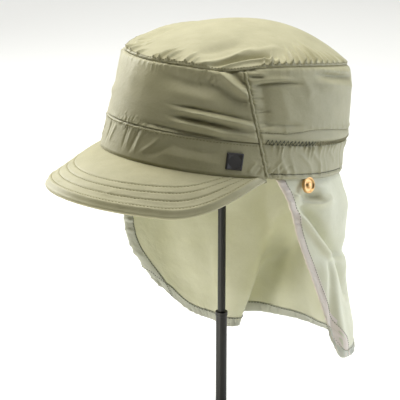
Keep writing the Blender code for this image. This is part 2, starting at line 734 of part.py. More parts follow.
def build():
    clear_scene()
    shell = material("khaki_nylon", (0.42, 0.40, 0.27), 0.55)
    band = material("khaki_nylon_band", (0.33, 0.33, 0.25), 0.55)
    cape_cloth = material("pale_khaki_nylon", (0.60, 0.59, 0.38), 0.60)
    tape = material("folded_hem", (0.50, 0.50, 0.42), 0.60)
    rubber = material("dark_rubber", (0.035, 0.034, 0.036), 0.55)
    brass = material("polished_brass", (0.70, 0.42, 0.16), 0.25, 1.0)
    black = material("black_enamel", (0.02, 0.02, 0.018), 0.35)
    steel = material("blackened_steel", (0.03, 0.03, 0.025), 0.30, 0.6)
    plastic = material("black_plastic", (0.02, 0.02, 0.02), 0.55)
    build_crown(shell, band)
    build_peak(shell)
    build_cape(cape_cloth, tape)
    finished("patch", patch_mesh(), rubber)
    build_studs(brass)
    build_stand(black, steel, plastic)


build()
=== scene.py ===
"""A nylon cadet cap with a neck cape on its display stand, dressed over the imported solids.

Metres, unless a name ends in mm or deg. Round the cap, angles run in degrees from the front towards the
wearer's left. The cap is worked out level, from the middle of the band's lower edge, and is then tipped
back as it sits on the stand.
"""

import math

import bpy
import numpy as np
from mathutils import Matrix, Vector


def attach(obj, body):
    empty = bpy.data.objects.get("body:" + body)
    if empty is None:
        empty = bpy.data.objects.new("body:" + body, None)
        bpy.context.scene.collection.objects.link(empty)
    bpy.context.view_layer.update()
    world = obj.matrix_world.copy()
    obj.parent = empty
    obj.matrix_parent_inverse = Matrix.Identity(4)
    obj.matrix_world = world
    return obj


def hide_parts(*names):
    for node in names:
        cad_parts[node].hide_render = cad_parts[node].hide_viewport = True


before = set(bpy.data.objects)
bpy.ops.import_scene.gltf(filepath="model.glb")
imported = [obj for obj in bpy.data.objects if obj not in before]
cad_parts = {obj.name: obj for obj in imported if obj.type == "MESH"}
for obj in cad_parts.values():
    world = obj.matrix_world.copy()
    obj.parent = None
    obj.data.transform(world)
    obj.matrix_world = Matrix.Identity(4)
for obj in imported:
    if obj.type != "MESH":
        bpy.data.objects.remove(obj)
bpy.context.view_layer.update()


def listed(names, *rows):
    """Rows of values, each value under its name."""
    return [dict(zip(names.split(), row)) for row in rows]


# Sizes shared with the solids
HEAD_LENGTH, HEAD_WIDTH = 0.200, 0.1686
BAND_HEIGHT, SIDE_HEIGHT = 0.025, 0.0785
DOME_HEIGHT, APEX_BACK, APEX_SIDE = 0.0276, 0.0176, 0.007
DOME_FALL_FRONT, DOME_FALL_BACK = 1.75, 2.05
BAND_LIFT, TIP_BACK_DEG = 0.248, 10.4
CLOTH, BAND_CLOTH, CAPE_CLOTH = 0.0012, 0.0016, 0.0011
SEAM_GAP = 0.0004
SEAM_FOOT_DEG, SEAM_HEAD_DEG = 71.8, 54.9
TOP_SEAM_PITCH, TOP_SEAM_SADDLE = -0.048, -0.039
PEAK_REACH, PEAK_DROP, PEAK_THICKNESS, PEAK_ARCH = 0.047, 0.0272, 0.0030, 0.0036
PEAK_FLARE, PEAK_SHOULDER, PEAK_NOSE = 0.0157, 0.046, 0.062
CAPE_DROP, CAPE_FRONT_DEG, CAPE_TUCK = 0.1665, 77.3, 0.006
PATCH_SIDE, PATCH_THICKNESS, PATCH_ANGLE_DEG, PATCH_HEIGHT_SHARE = 0.0125, 0.0012, 55.6, 0.43
STUD_RADIUS = 0.0061
HALF_LENGTH, HALF_WIDTH = HEAD_LENGTH / 2, HEAD_WIDTH / 2
MM_PER_DEG = math.radians(1.0) * (HALF_LENGTH + HALF_WIDTH) / 2 * 1000

# Height as a share of the top seam's height, and girth as a share of the band's lower edge
SIDE_SECTIONS = listed(
    "height front back",
    (0.000, 1.000, 1.000),
    (0.300, 0.976, 0.992),
    (0.345, 0.974, 1.004),
    (0.420, 0.967, 1.006),
    (0.650, 0.950, 0.995),
    (0.850, 0.932, 0.974),
    (0.950, 0.920, 0.951),
    (1.000, 0.906, 0.926),
)
# Places where the top seam sags, in degrees, and how deep, as a share of its height
SEAM_SAGS = listed(
    "angle spread depth",
    (46.0, 15.0, 0.045),
    (-44.0, 18.0, 0.030),
    (176.0, 26.0, 0.018),
)
# The cape's edges: x and y as shares of the head's half width and half length, z as a share of the drop
CAPE_NEAR_EDGE = listed(
    "at x y z",
    (0.00, 0.940, -0.265, 0.000),
    (0.14, 0.995, -0.160, 0.127),
    (0.34, 1.005, -0.064, 0.294),
    (0.55, 1.000, 0.082, 0.470),
    (0.77, 0.990, 0.238, 0.657),
    (1.00, 0.955, 0.430, 0.882),
)
CAPE_FAR_EDGE = listed(
    "at x y z",
    (0.00, -0.940, -0.265, 0.000),
    (0.25, -0.990, -0.310, 0.196),
    (0.50, -1.000, -0.310, 0.382),
    (0.72, -0.990, -0.250, 0.549),
    (1.00, -0.960, -0.030, 0.757),
)
CAPE_HEM = listed(
    "at x y z",
    (0.00, 0.955, 0.430, 0.882),
    (0.05, 0.925, 0.520, 0.965),
    (0.10, 0.890, 0.640, 0.995),
    (0.16, 0.830, 0.780, 1.000),
    (0.25, 0.580, 0.930, 0.993),
    (0.34, 0.250, 0.985, 1.006),
    (0.42, -0.110, 0.960, 1.004),
    (0.49, -0.340, 0.850, 0.998),
    (0.55, -0.385, 0.680, 0.992),
    (0.62, -0.340, 0.460, 0.986),
    (0.70, -0.455, 0.370, 0.986),
    (0.80, -0.610, 0.380, 0.990),
    (0.90, -0.810, 0.240, 0.940),
    (1.00, -0.960, -0.030, 0.757),
)
# Folds of the cape run from place a to place b, as shares across it and down it. A rise of 1 is this high
CAPE_FOLD_RISE = 0.0080
CAPE_FOLDS = listed(
    "across_a down_a across_b down_b width rise",
    (0.13, 0.02, 0.14, 0.14, 0.035, 0.30),
    (0.05, 0.12, 0.20, 0.46, 0.045, -0.5),
    (0.25, 0.12, 0.27, 0.55, 0.055, 0.5),
    (0.10, 0.45, 0.08, 0.98, 0.040, 0.6),
    (0.24, 0.50, 0.22, 0.95, 0.060, 0.6),
    (0.36, 0.25, 0.34, 0.95, 0.050, -0.6),
    (0.72, 0.30, 0.72, 0.95, 0.060, 0.7),
    (0.88, 0.25, 0.86, 0.85, 0.060, 0.5),
)

# Sizes that only the scene has

# Creases of the crown's side: from and to are an angle and a height in mm above the band's lower edge.
# A rise below nothing is a dent, and bow bends the crease sideways at its middle, all in mm
SIDE_CREASE_DEPTH, BAND_CREASE_DEPTH, TOP_GATHER_DEPTH = 0.85, 0.62, 2.3
SIDE_CREASES = listed(
    "from to bow width rise",
    ((33, 76), (41, 70.0), 0.0, 1.6, 2.0),
    ((41, 74.5), (60, 56.0), -0.8, 2.6, 3.6),
    ((46, 75), (58, 64), 0.0, 2.6, -3.0),
    ((36, 66), (58, 51), 0.0, 4.0, -2.4),
    ((12, 66), (44, 60), -1.0, 6.0, -3.2),
    ((20, 54), (46, 51), 0.0, 5.0, 1.8),
    ((21, 44.8), (64, 39.6), 1.2, 1.5, -2.6),
    ((24, 41.4), (66, 35.6), 1.6, 2.2, 3.6),
    ((22, 36.6), (55, 33.6), 0.8, 1.7, -3.2),
    ((24, 33.0), (50, 30.2), 0.8, 2.2, 3.2),
    ((8, 28.2), (50, 26.0), 0.4, 1.6, -2.4),
    ((42, 30.4), (68, 28.0), 0.5, 2.0, 2.2),
    ((-12, 62), (10, 56), 0.0, 8.0, 1.0),
    ((-26, 50), (-58, 46), 0.0, 4.0, -0.8),
    ((-24, 44), (-60, 40), 0.8, 3.6, 0.8),
    ((-30, 37), (-60, 35), 0.0, 2.6, -0.7),
    ((-36, 74), (-56, 58), 0.0, 3.0, 0.8),
    ((56.5, 74.5), (61, 75.5), 0.0, 0.9, -1.5),
    ((57.0, 71.0), (64, 71.6), 0.2, 1.1, -2.0),
    ((57.0, 73.0), (66, 73.6), 0.2, 1.3, 1.0),
    ((59.0, 64.2), (84, 69.2), 1.6, 1.2, -2.6),
    ((58.5, 67.4), (80, 71.6), 1.4, 1.7, 1.5),
    ((59.5, 56.6), (66, 56.4), 0.0, 0.9, -1.3),
    ((61.0, 48.6), (66, 48.8), 0.0, 0.9, -1.2),
    ((62.5, 45.4), (70, 48.2), 0.2, 0.9, -1.3),
    ((63.5, 39.0), (86, 39.6), -0.3, 1.5, -1.5),
    ((64.5, 35.0), (72, 38.0), 0.2, 0.9, -1.1),
    ((84, 74), (91, 60), 0.0, 4.0, 0.9),
    ((63, 71), (68, 36), 1.0, 4.6, -1.7),
    ((72, 66), (80, 40), 1.0, 5.0, 0.9),
    ((93, 79.5), (132, 76.5), 0.0, 2.2, 1.4),
    ((93, 76.2), (132, 72.6), 0.0, 2.4, -3.6),
    ((90, 70.5), (134, 66.0), 0.0, 4.0, 2.4),
    ((146, 44), (160, 70), 3.0, 5.0, -2.0),
    ((152, 42), (170, 66), 3.0, 3.0, 1.6),
    ((172, 70), (186, 40), 3.0, 4.0, 1.6),
    ((196, 44), (212, 70), -3.0, 4.0, -2.0),
    ((205, 40), (222, 66), -3.0, 3.0, 1.4),
    ((228, 76), (266, 70), 1.0, 2.6, -2.2),
    ((228, 70), (264, 64), 1.0, 3.6, 1.4),
    ((276, 68), (301, 62), 1.2, 1.5, -2.0),
    ((276, 48), (298, 44), 0.0, 1.8, -1.5),
    ((282, 40), (297, 38), 0.0, 1.3, -1.3),
)

# Creases of the band, in the same way
BAND_CREASES = listed(
    "from to bow width rise",
    ((-2.4, 6), (-0.8, 24), 0.4, 1.0, -0.8),
    ((0.6, 6), (2.4, 24), 0.4, 1.3, 0.7),
    ((3.2, 5), (7.4, 24), 0.5, 1.3, -1.2),
    ((6.2, 5), (10.0, 24), 0.6, 1.4, 0.9),
    ((10.5, 7), (19.5, 20), -0.8, 1.5, 1.2),
    ((13.5, 6), (27.0, 17), -1.2, 2.2, -1.5),
    ((24, 17), (48, 15), -1.0, 2.4, -1.7),
    ((22, 10), (50, 8), 0.0, 2.8, 1.2),
    ((62.5, 3), (66, 12), 0.6, 1.3, 1.3),
    ((65.5, 2), (68.5, 9), -0.6, 1.1, -1.2),
    ((-16, 6), (-11, 22), 0.4, 1.5, 1.0),
    ((-21, 6), (-17, 22), 0.4, 1.3, -1.0),
    ((-34, 6), (-27, 19), 0.8, 1.6, 1.1),
    ((-30, 12), (-52, 11), 0.0, 2.4, -1.2),
    ((73, 3), (79, 15), 0.8, 1.2, 1.2),
    ((76, 2), (84, 10), 0.8, 1.1, -1.1),
    ((87, 19), (95, 9), 0.0, 1.6, 1.0),
    ((95, 20), (103, 8), 0.0, 1.7, 1.0),
    ((108, 20), (116, 10), 0.0, 1.7, 0.9),
)

# Creases of the top, in plan: mm to the wearer's left and mm back
TOP_CREASES = listed(
    "from to bow width rise",
    ((38, -82), (50, -34), -3.0, 2.6, 3.4),
    ((50, -44), (58, -14), -1.0, 3.4, 1.8),
    ((44, -77), (66, -24), 2.6, 3.2, -3.6),
    ((50, -70), (71, -26), 2.4, 1.6, 2.6),
    ((30, -68), (38, -32), -2.0, 4.5, -2.0),
    ((18, -52), (28, -46), 1.0, 1.3, -0.6),
    ((-60, -40), (-56, 22), -3.0, 6.0, 1.8),
    ((-28, -70), (-42, -22), 2.0, 4.0, -1.8),
    ((-36, -72), (-50, -26), 2.0, 3.0, 1.8),
    ((-10, 80), (34, 56), 3.0, 5.0, -1.8),
    ((-50, 66), (-26, 34), 2.0, 4.0, 1.6),
)

# Gathers that run in from the top's seam: the angle where they start, and the rest in mm
TOP_GATHERS = listed(
    "angle reach width rise",
    (5.0, 9, 1.3, 1.0),
    (9.0, 17, 1.5, 1.6),
    (14.5, 16, 1.4, 1.5),
    (18.5, 9, 1.1, 0.8),
    (24.5, 15, 1.5, 1.5),
    (28.5, 10, 1.1, 0.9),
    (64.0, 9, 1.2, 0.9),
    (67.8, 13, 1.3, 1.6),
    (71.4, 9, 1.2, 1.3),
    (75.0, 11, 1.2, 1.3),
    (79.0, 19, 1.3, 1.9),
    (82.6, 16, 1.2, 1.5),
    (86.4, 22, 1.4, 1.9),
    (89.8, 20, 1.2, 1.6),
    (93.4, 24, 1.4, 1.9),
    (97.6, 17, 1.3, 1.5),
    (101.8, 14, 1.3, 1.4),
    (106.6, 11, 1.3, 1.2),
    (112.0, 12, 1.5, 1.0),
    (120.0, 8, 1.4, 1.0),
    (-9.0, 9, 1.4, 1.0),
    (-18.0, 11, 1.4, 1.2),
    (-26.0, 9, 1.3, 1.2),
)

# Rows of small puckers along the seams: from start to stop on the seam in mm, then how many, and their size
GATHERS = listed(
    "name start stop count reach width rise seed lean",
    ("crown head", -280, 280, 110, 5.0, 1.0, 0.7, 3, 0.0),
    ("crown head by the left seam", 6, 48, 15, 6.0, 0.9, 1.1, 13, 0.0),
    ("crown foot", -280, 280, 60, 3.0, 1.1, 0.4, 4, 0.0),
    ("flap line", -250, 250, 70, 6.0, 1.1, 0.8, 17, 0.0),
    ("crown side seam", 24, 80, 20, 6.0, 1.0, 1.0, 5, 0.0),
    ("elastic band head", -175, 175, 76, 5.5, 1.0, 2.4, 6, 0.0),
    ("elastic band foot", -175, 175, 44, 12.0, 1.8, 1.4, 18, -0.35),
    ("front band head", -130, 130, 84, 4.0, 1.1, 0.6, 7, 0.0),
    ("band side seam", 3, 25, 7, 5.0, 1.0, 1.0, 21, 0.0),
    ("top seam", -268, 268, 80, 4.5, 1.0, 0.6, 8, 0.0),
    ("top seam behind", -268, 268, 34, 14.0, 1.8, 0.9, 9, 0.0),
    ("hem", 0, 420, 56, 8.0, 1.3, 2.0, 41, 0.0),
    ("near tape", 0, 170, 40, 6.0, 1.1, 1.5, 42, 0.0),
    ("far tape", 0, 150, 13, 7.5, 1.3, 3.8, 43, 0.0),
    ("cape head", 0, 330, 60, 6.0, 1.6, 0.8, 44, 0.0),
)
# Patches of small crumples: their middle and half spread in mm, then how many, and their size
CRUMPLES = listed(
    "name centre_u centre_v wide_u wide_v count size rise seed",
    ("front foot", 2.0, 1.5, 24.0, 3.5, 60, 0.8, 0.36, 14),
    ("front head right", -62.0, 3.0, 14.0, 6.0, 30, 1.5, 0.35, 15),
    ("front head left", 62.0, 3.0, 12.0, 6.0, 20, 1.6, 0.5, 16),
    ("front band", 10.0, 2.0, 30.0, 4.0, 80, 0.8, 0.36, 19),
    ("elastic band", 122.0, 3.0, 10.0, 5.0, 40, 1.0, 0.6, 20),
    ("top front right", -40.0, -74.0, 18.0, 12.0, 26, 1.5, 0.8, 22),
)

# The deep pleat inside the cape's back, as the line of its crest, and the hollow beside it
CAPE_CREST = listed(
    "down across",
    (0.20, 0.515),
    (0.45, 0.545),
    (0.70, 0.575),
    (0.86, 0.610),
    (1.00, 0.640),
)
CREST_RISE, CREST_HOLLOW = 0.010, 0.022
CREST_FAR_WIDTH, CREST_NEAR_WIDTH = 0.080, 0.038
HOLLOW_BESIDE, HOLLOW_WIDTH = 0.080, 0.048

# Lesser folds of the cape, in the way of CAPE_FOLDS
CAPE_DETAILS = listed(
    "across_a down_a across_b down_b width rise",
    (0.030, 0.075, 0.092, 0.128, 0.014, 0.34),
    (0.092, 0.128, 0.150, 0.100, 0.016, 0.34),
    (0.045, 0.100, 0.110, 0.092, 0.022, -0.36),
    (0.050, 0.150, 0.200, 0.460, 0.022, -0.78),
    (0.028, 0.180, 0.124, 0.420, 0.018, 0.60),
    (0.165, 0.475, 0.187, 0.700, 0.020, -0.62),
    (0.111, 0.450, 0.046, 0.913, 0.018, -0.60),
    (0.270, 0.02, 0.270, 0.42, 0.050, 0.38),
    (0.600, 0.20, 0.480, 0.75, 0.030, 0.20),
    (0.750, 0.35, 0.660, 0.80, 0.040, -0.25),
)

# Rows of stitches on the peak, in mm in from its rim, and how far stitches sink, as a share of the thread
PEAK_ROWS_MM = (5.2, 11.0, 17.5, 23.5)
STITCH_SINK = 0.3

# Widths of the tapes and the hem, and the stud's place across and down the cape with its dimple's depth
NEAR_TAPE_WIDTH, FAR_TAPE_WIDTH, TURNED_HEM_WIDTH = 0.0058, 0.0076, 0.0076
STUD_ACROSS, STUD_DOWN, STUD_DIMPLE = 0.074, 0.042, 0.0046
# Lengths over which the gathers of the cape's head and hem, and the stud's place, are counted
HEAD_SPREAD_MM, HEM_SPREAD_MM = 330.0, 420.0
# The studs sit a little higher and further back than their solids
STUD_SHIFT = (0.0, 0.0010, 0.0016)

# Colours as the eye sees them, light and shade of each cloth
SHELL_HEX, SHELL_SHADE_HEX = "#B6B18E", "#A8A380"
CAPE_HEX, CAPE_SHADE_HEX = "#DEDDC2", "#D4D3B5"
HEM_HEX, HEM_SHADE_HEX = "#D2D3C4", "#C0C1AF"
TAPE_HEX, TAPE_SHADE_HEX = "#ECE1D2", "#DBCFBF"
THREAD_HEX, PEAK_THREAD_HEX, ZIGZAG_HEX = "#8A845F", "#A49D77", "#3F4634"
PATCH_HEX, BRASS_HEX = "#403E3D", "#DFB478"
ENAMEL_HEX, STEEL_HEX, PLASTIC_HEX = "#1E1D17", "#1B1A12", "#20201D"
FLOOR_HEX, ROOM_HEX = "#F4F4F2", "#F4F7F8"


# Small sums on whole arrays


def mix(a, b, share):
    return a + (b - a) * share


def eased(low, high, value):
    share = np.clip((value - low) / (high - low), 0.0, 1.0)
    return share * share * (3 - 2 * share)


def bump(value, width):
    return np.exp(-((value / width) ** 2))


def through(rows, key, column, value):
    """A smooth curve through a table's rows, read where the key has this value."""
    at = np.array([row[key] for row in rows])
    height = np.array([row[column] for row in rows])
    slope = np.empty_like(height)
    slope[1:-1] = (height[2:] - height[:-2]) / (at[2:] - at[:-2])
    slope[0] = (height[1] - height[0]) / (at[1] - at[0])
    slope[-1] = (height[-1] - height[-2]) / (at[-1] - at[-2])
    value = np.clip(value, at[0], at[-1])
    i = np.clip(np.searchsorted(at, value, side="left") - 1, 0, len(at) - 2)
    span = at[i + 1] - at[i]
    t = (value - at[i]) / span
    rise = height[i + 1] - height[i]
    a, b = slope[i] * span, slope[i + 1] * span
    return height[i] + t * (a + t * (3 * rise - 2 * a - b + t * (a + b - 2 * rise)))


def stacked(x, y, z):
    return np.stack(np.broadcast_arrays(x, y, z), axis=-1)


def unit(vectors):
    return vectors / np.maximum(np.linalg.norm(vectors, axis=-1, keepdims=True), 1e-12)


def leaned(points):
    """Directions on the level cap, turned back with it."""
    turn = math.radians(-TIP_BACK_DEG)
    x, y, z = np.moveaxis(points, -1, 0)
    return stacked(x, y * math.cos(turn) - z * math.sin(turn), y * math.sin(turn) + z * math.cos(turn))


def tipped(points):
    """The level cap's points where they are on the stand."""
    return leaned(points) + np.array([0.0, 0.0, BAND_LIFT])


def from_front(angle, centre=0.0):
    return (angle - centre + 180.0) % 360.0 - 180.0


def crease_push(u, v, rows, u_mm=1.0):
    """How far a table of creases pushes the cloth out, in metres. v is in mm, and a u is u_mm long."""
    push = np.zeros(np.broadcast(u, v).shape)
    for row in rows:
        (u_a, v_a), (u_b, v_b) = row["from"], row["to"]
        along_u, along_v = (u_b - u_a) * u_mm, v_b - v_a
        du = (from_front(u, u_a) if u_mm != 1.0 else u - u_a) * u_mm
        dv = v - v_a
        length = math.hypot(along_u, along_v)
        t = (du * along_u + dv * along_v) / length**2
        inside = np.clip(t, 0.0, 1.0)
        off = (dv * along_u - du * along_v) / length - row["bow"] * 4 * inside * (1 - inside)
        ends = eased(-0.10, 0.28, t) * eased(1.10, 0.72, t)
        push += row["rise"] / 1000 * np.exp(-(np.abs(off / row["width"]) ** 1.7)) * ends
    return push


def gather_push(name, along, inward):
    """Small puckers that start at a seam. along and inward are in mm, on the seam and away from it."""
    row = next(row for row in GATHERS if row["name"] == name)
    chance = np.random.default_rng(row["seed"])
    push = np.zeros(np.broadcast(along, inward).shape)
    for k in range(row["count"]):
        centre = mix(row["start"], row["stop"], (k + chance.uniform(0.1, 0.9)) / row["count"])
        long, wide = row["reach"] * chance.uniform(0.5, 1.5), row["width"] * chance.uniform(0.6, 1.4)
        high = row["rise"] / 1000 * chance.uniform(0.2, 1.2)
        bend = row["lean"] * chance.uniform(0.3, 1.7)
        depth = np.maximum(inward, 0.0) / long
        off = np.abs((along - centre - bend * inward) / wide)
        push += high * np.exp(-(off**1.5)) * eased(0.0, 0.22, depth) * np.exp(-1.6 * depth**1.5)
    return push


def crumple_push(name, u, v):
    """A patch of small crumples round one place, all in mm."""
    row = next(row for row in CRUMPLES if row["name"] == name)
    chance = np.random.default_rng(row["seed"])
    push = np.zeros(np.broadcast(u, v).shape)
    for _ in range(row["count"]):
        a = row["centre_u"] + row["wide_u"] * chance.normal() * 0.5
        b = row["centre_v"] + row["wide_v"] * chance.normal() * 0.5
        turn, long = chance.uniform(0.9, 2.3), row["size"] * chance.uniform(1.2, 3.0)
        du, dv = u - a, v - b
        along, off = du * math.cos(turn) + dv * math.sin(turn), dv * math.cos(turn) - du * math.sin(turn)
        rise = chance.choice([-1, 1]) * row["rise"] / 1000
        push += rise * bump(along, long) * bump(off, row["size"] * 0.6)
    return push


# The cap's surfaces


def seam_height(angle):
    turn = np.radians(angle)
    share = 1 + TOP_SEAM_PITCH * np.cos(turn) + TOP_SEAM_SADDLE * np.cos(2 * turn)
    for sag in SEAM_SAGS:
        share = share - sag["depth"] * bump(from_front(angle, sag["angle"]), sag["spread"])
    return SIDE_HEIGHT * share


def side_point(angle, height, out):
    """A point of the level band or crown side, pushed out by out."""
    share = np.minimum(1.0, height / seam_height(angle))
    at_back = eased(62.0, 105.0, np.abs(from_front(angle)))
    front = through(SIDE_SECTIONS, "height", "front", share)
    back = through(SIDE_SECTIONS, "height", "back", share)
    girth, turn = mix(front, back, at_back), np.radians(angle)
    x = (HALF_WIDTH * girth + out) * np.sin(turn)
    y = -(HALF_LENGTH * girth + out) * np.cos(turn)
    return stacked(x, y, height)


def side_facing(angle):
    turn = np.radians(angle)
    return unit(leaned(stacked(HALF_LENGTH * np.sin(turn), -HALF_WIDTH * np.cos(turn), 0.0 * turn)))


def seam_angle(height_share):
    return mix(SEAM_FOOT_DEG, SEAM_HEAD_DEG, height_share)


def seam_offset_mm(angle, height):
    """How far a place on the side is from the nearest side seam: below nothing towards the front."""
    return (np.abs(from_front(angle)) - seam_angle(height / seam_height(angle))) * MM_PER_DEG


def flap_stitch_mm(angle):
    """Height of the stitched line above the crown's lower edge at the back."""
    off = np.abs(from_front(angle))
    return 32.8 + 3.6 * eased(76.0, 97.0, off) - 3.0 * eased(100.0, 132.0, off)


def crown_side_push(angle, height):
    """Creases, the gathers at the seams, the side seams' rolled edges and the dip into the top seam."""
    mm, top = height * 1000, seam_height(angle) * 1000
    down, up = top - mm, mm - 1000 * BAND_HEIGHT
    arc = from_front(angle, 150.0) * MM_PER_DEG
    front_arc = from_front(angle) * MM_PER_DEG
    offset = seam_offset_mm(angle, height)
    beside = np.abs(offset)
    behind = eased(0.0, 1.0, offset)
    push = SIDE_CREASE_DEPTH * crease_push(angle, mm, SIDE_CREASES, MM_PER_DEG)
    push += gather_push("crown head", arc, down)
    push += gather_push("crown foot", arc, up)
    push += gather_push("crown head by the left seam", front_arc, down)
    push += crumple_push("front foot", front_arc, up) * (1 - behind)
    push += crumple_push("front head right", front_arc, down) * (1 - behind)
    push += crumple_push("front head left", front_arc, down) * (1 - behind)
    above_line = mm - flap_stitch_mm(angle)
    line = behind * (0.0005 * bump(above_line - 1.8, 1.5) - 0.0007 * bump(above_line, 0.6))
    push += behind * gather_push("flap line", arc, above_line) * eased(0.0, 0.4, above_line)
    push += line + behind * 0.0008 * bump(up - 4.6, 3.0) - behind * 0.0004 * bump(up, 1.0)
    push = push * eased(0.0, 2.5, beside)
    near_side = eased(-20.0, 20.0, from_front(angle))
    push += near_side * gather_push("crown side seam", mm, beside) * eased(0.0, 1.2, beside)
    push -= 0.0011 * bump(down, 1.0) + 0.0009 * bump(beside - 0.9, 0.9)
    return push * eased(0.0, 0.8, up + 0.3)


def band_push(angle, height):
    """Creases, the elastic's gathers behind, the seams' rolled edges and the stitched groove below."""
    mm = height * 1000
    below = 1000 * BAND_HEIGHT - mm
    arc = from_front(angle, 180.0) * MM_PER_DEG
    front_arc = from_front(angle) * MM_PER_DEG
    offset = seam_offset_mm(angle, height)
    beside, behind = np.abs(offset), eased(0.0, 1.0, offset)
    push = BAND_CREASE_DEPTH * crease_push(angle, mm, BAND_CREASES, MM_PER_DEG)
    push += behind * gather_push("elastic band head", arc, below)
    push += behind * gather_push("elastic band foot", arc, mm)
    push += (1 - behind) * gather_push("front band head", front_arc, below)
    push += (1 - behind) * crumple_push("front band", front_arc, below)
    push += behind * crumple_push("elastic band", front_arc, mm)
    push = push * eased(0.0, 2.0, beside) * eased(0.0, 1.6, mm)
    push += gather_push("band side seam", mm, beside) * eased(0.0, 1.2, beside)
    rolled = -0.0007 * eased(1.4, 0.0, mm) * (1 - behind) - behind * 0.0013 * bump(mm - 3.5, 0.7)
    pulled = mix(0.0008, 0.0003, behind) * bump(below, 0.8)
    pulled += mix(0.0014, 0.0007, behind) * eased(0.5, -0.3, below)
    return push + rolled - pulled - 0.0008 * bump(beside - 0.9, 0.9)


def top_point(angle, share):
    """A point of the domed top before its creases, and how far it is from the seam in mm."""
    rim = side_point(angle, seam_height(angle), 0.0)
    rim[..., 2] += CLOTH + SEAM_GAP
    x, y = mix(APEX_SIDE, rim[..., 0], share), mix(APEX_BACK, rim[..., 1], share)
    at_back = eased(40.0, 140.0, np.abs(from_front(angle)))
    fall = share ** mix(DOME_FALL_FRONT, DOME_FALL_BACK, at_back)
    z = mix(SIDE_HEIGHT + DOME_HEIGHT, rim[..., 2], fall)
    reach = np.hypot(rim[..., 0] - APEX_SIDE, rim[..., 1] - APEX_BACK)
    return stacked(x, y, z), (1 - share) * reach * 1000


def top_push(points, angle, inward):
    """Creases and gathers of the top, and its dip into the seam."""
    x, y = points[..., 0] * 1000, points[..., 1] * 1000
    push = crease_push(x, y, TOP_CREASES) * eased(0.0, 3.5, inward)
    for row in TOP_GATHERS:
        off = np.abs(from_front(angle, row["angle"])) * MM_PER_DEG / row["width"]
        depth = inward / row["reach"]
        ends = eased(0.0, 0.12, depth) * eased(1.25, 0.25, depth)
        push += TOP_GATHER_DEPTH * row["rise"] / 1000 * np.exp(-1.3 * off**1.4) * ends
    arc = from_front(angle, 200.0) * MM_PER_DEG * 0.93
    push += gather_push("top seam", arc, inward)
    at_back = eased(100.0, 125.0, np.abs(from_front(angle)))
    push += gather_push("top seam behind", arc, inward) * at_back
    push += crumple_push("top front right", x, y) * eased(0.0, 2.0, inward)
    return push - 0.0012 * bump(inward, 0.9)


def peak_outline(share):
    """The peak's rim, from the right seam at -1 round the front to the left seam at 1."""
    turn = math.radians(SEAM_FOOT_DEG)
    end_x = (HALF_WIDTH - BAND_CLOTH) * math.sin(turn)
    end_y = -(HALF_LENGTH - BAND_CLOTH) * math.cos(turn)
    nose = -(HALF_LENGTH + PEAK_REACH)
    t = 1 - np.abs(share)
    weights = ((1 - t) ** 3, 3 * t * (1 - t) ** 2, 3 * t * t * (1 - t), t**3)
    xs = (end_x, end_x + PEAK_FLARE, PEAK_NOSE, 0.0)
    ys = (end_y, end_y - PEAK_SHOULDER, nose, nose)
    x = np.copysign(sum(w * p for w, p in zip(weights, xs)), share)
    y = sum(w * p for w, p in zip(weights, ys))
    drop = np.sin(math.radians(90.0) * np.minimum(1.0, t / 0.55)) ** 1.6
    return stacked(x, y, -SEAM_GAP - PEAK_DROP * drop)


def peak_point(share, out):
    """A point of the peak's top, from the band at out 0 to the rim at out 1."""
    turn = np.radians(SEAM_FOOT_DEG * share)
    x = (HALF_WIDTH - BAND_CLOTH) * np.sin(turn)
    y = -(HALF_LENGTH - BAND_CLOTH) * np.cos(turn)
    seam = stacked(x, y, np.full_like(x, -SEAM_GAP))
    point = mix(seam, peak_outline(share), np.broadcast_to(out, x.shape)[..., None])
    point[..., 2] += PEAK_ARCH * np.sin(math.pi * out) * (1 - share**4)
    return point


def cape_edge(rows, at):
    x = HALF_WIDTH * through(rows, "at", "x", at)
    y = HALF_LENGTH * through(rows, "at", "y", at)
    front = np.array([0.0, -HALF_LENGTH * math.cos(math.radians(CAPE_FRONT_DEG)), 0.0])
    return stacked(x, y, tipped(front)[2] - CAPE_DROP * through(rows, "at", "z", at))


def cape_head(across, height):
    """The cape's upper edge, sewn inside the band."""
    turn = np.radians(mix(CAPE_FRONT_DEG, 360.0 - CAPE_FRONT_DEG, across))
    inset = BAND_CLOTH + SEAM_GAP + CAPE_CLOTH / 2 + 0.0007
    wide, deep = HALF_WIDTH - inset, HALF_LENGTH - inset
    return tipped(stacked(wide * np.sin(turn), -deep * np.cos(turn), height))


def cape_smooth(across, down):
    """The cape without its folds, blended from its four edges."""
    near, far = cape_edge(CAPE_NEAR_EDGE, down), cape_edge(CAPE_FAR_EDGE, down)
    head, hem = cape_head(across, -SEAM_GAP), cape_edge(CAPE_HEM, across)
    zero, one = np.zeros(1), np.ones(1)
    near_head, far_head = cape_head(zero, -SEAM_GAP)[0], cape_head(one, -SEAM_GAP)[0]
    near_foot, far_foot = cape_edge(CAPE_HEM, zero)[0], cape_edge(CAPE_HEM, one)[0]
    a, d = across[..., None], down[..., None]
    near = near + (near_head - cape_edge(CAPE_NEAR_EDGE, zero)[0]) * (1 - d)
    near = near + (near_foot - cape_edge(CAPE_NEAR_EDGE, one)[0]) * d
    far = far + (far_head - cape_edge(CAPE_FAR_EDGE, zero)[0]) * (1 - d)
    far = far + (far_foot - cape_edge(CAPE_FAR_EDGE, one)[0]) * d
    corners = mix(mix(near_head, far_head, a), mix(near_foot, far_foot, a), d)
    return mix(head, hem, d) + mix(near, far, a) - corners


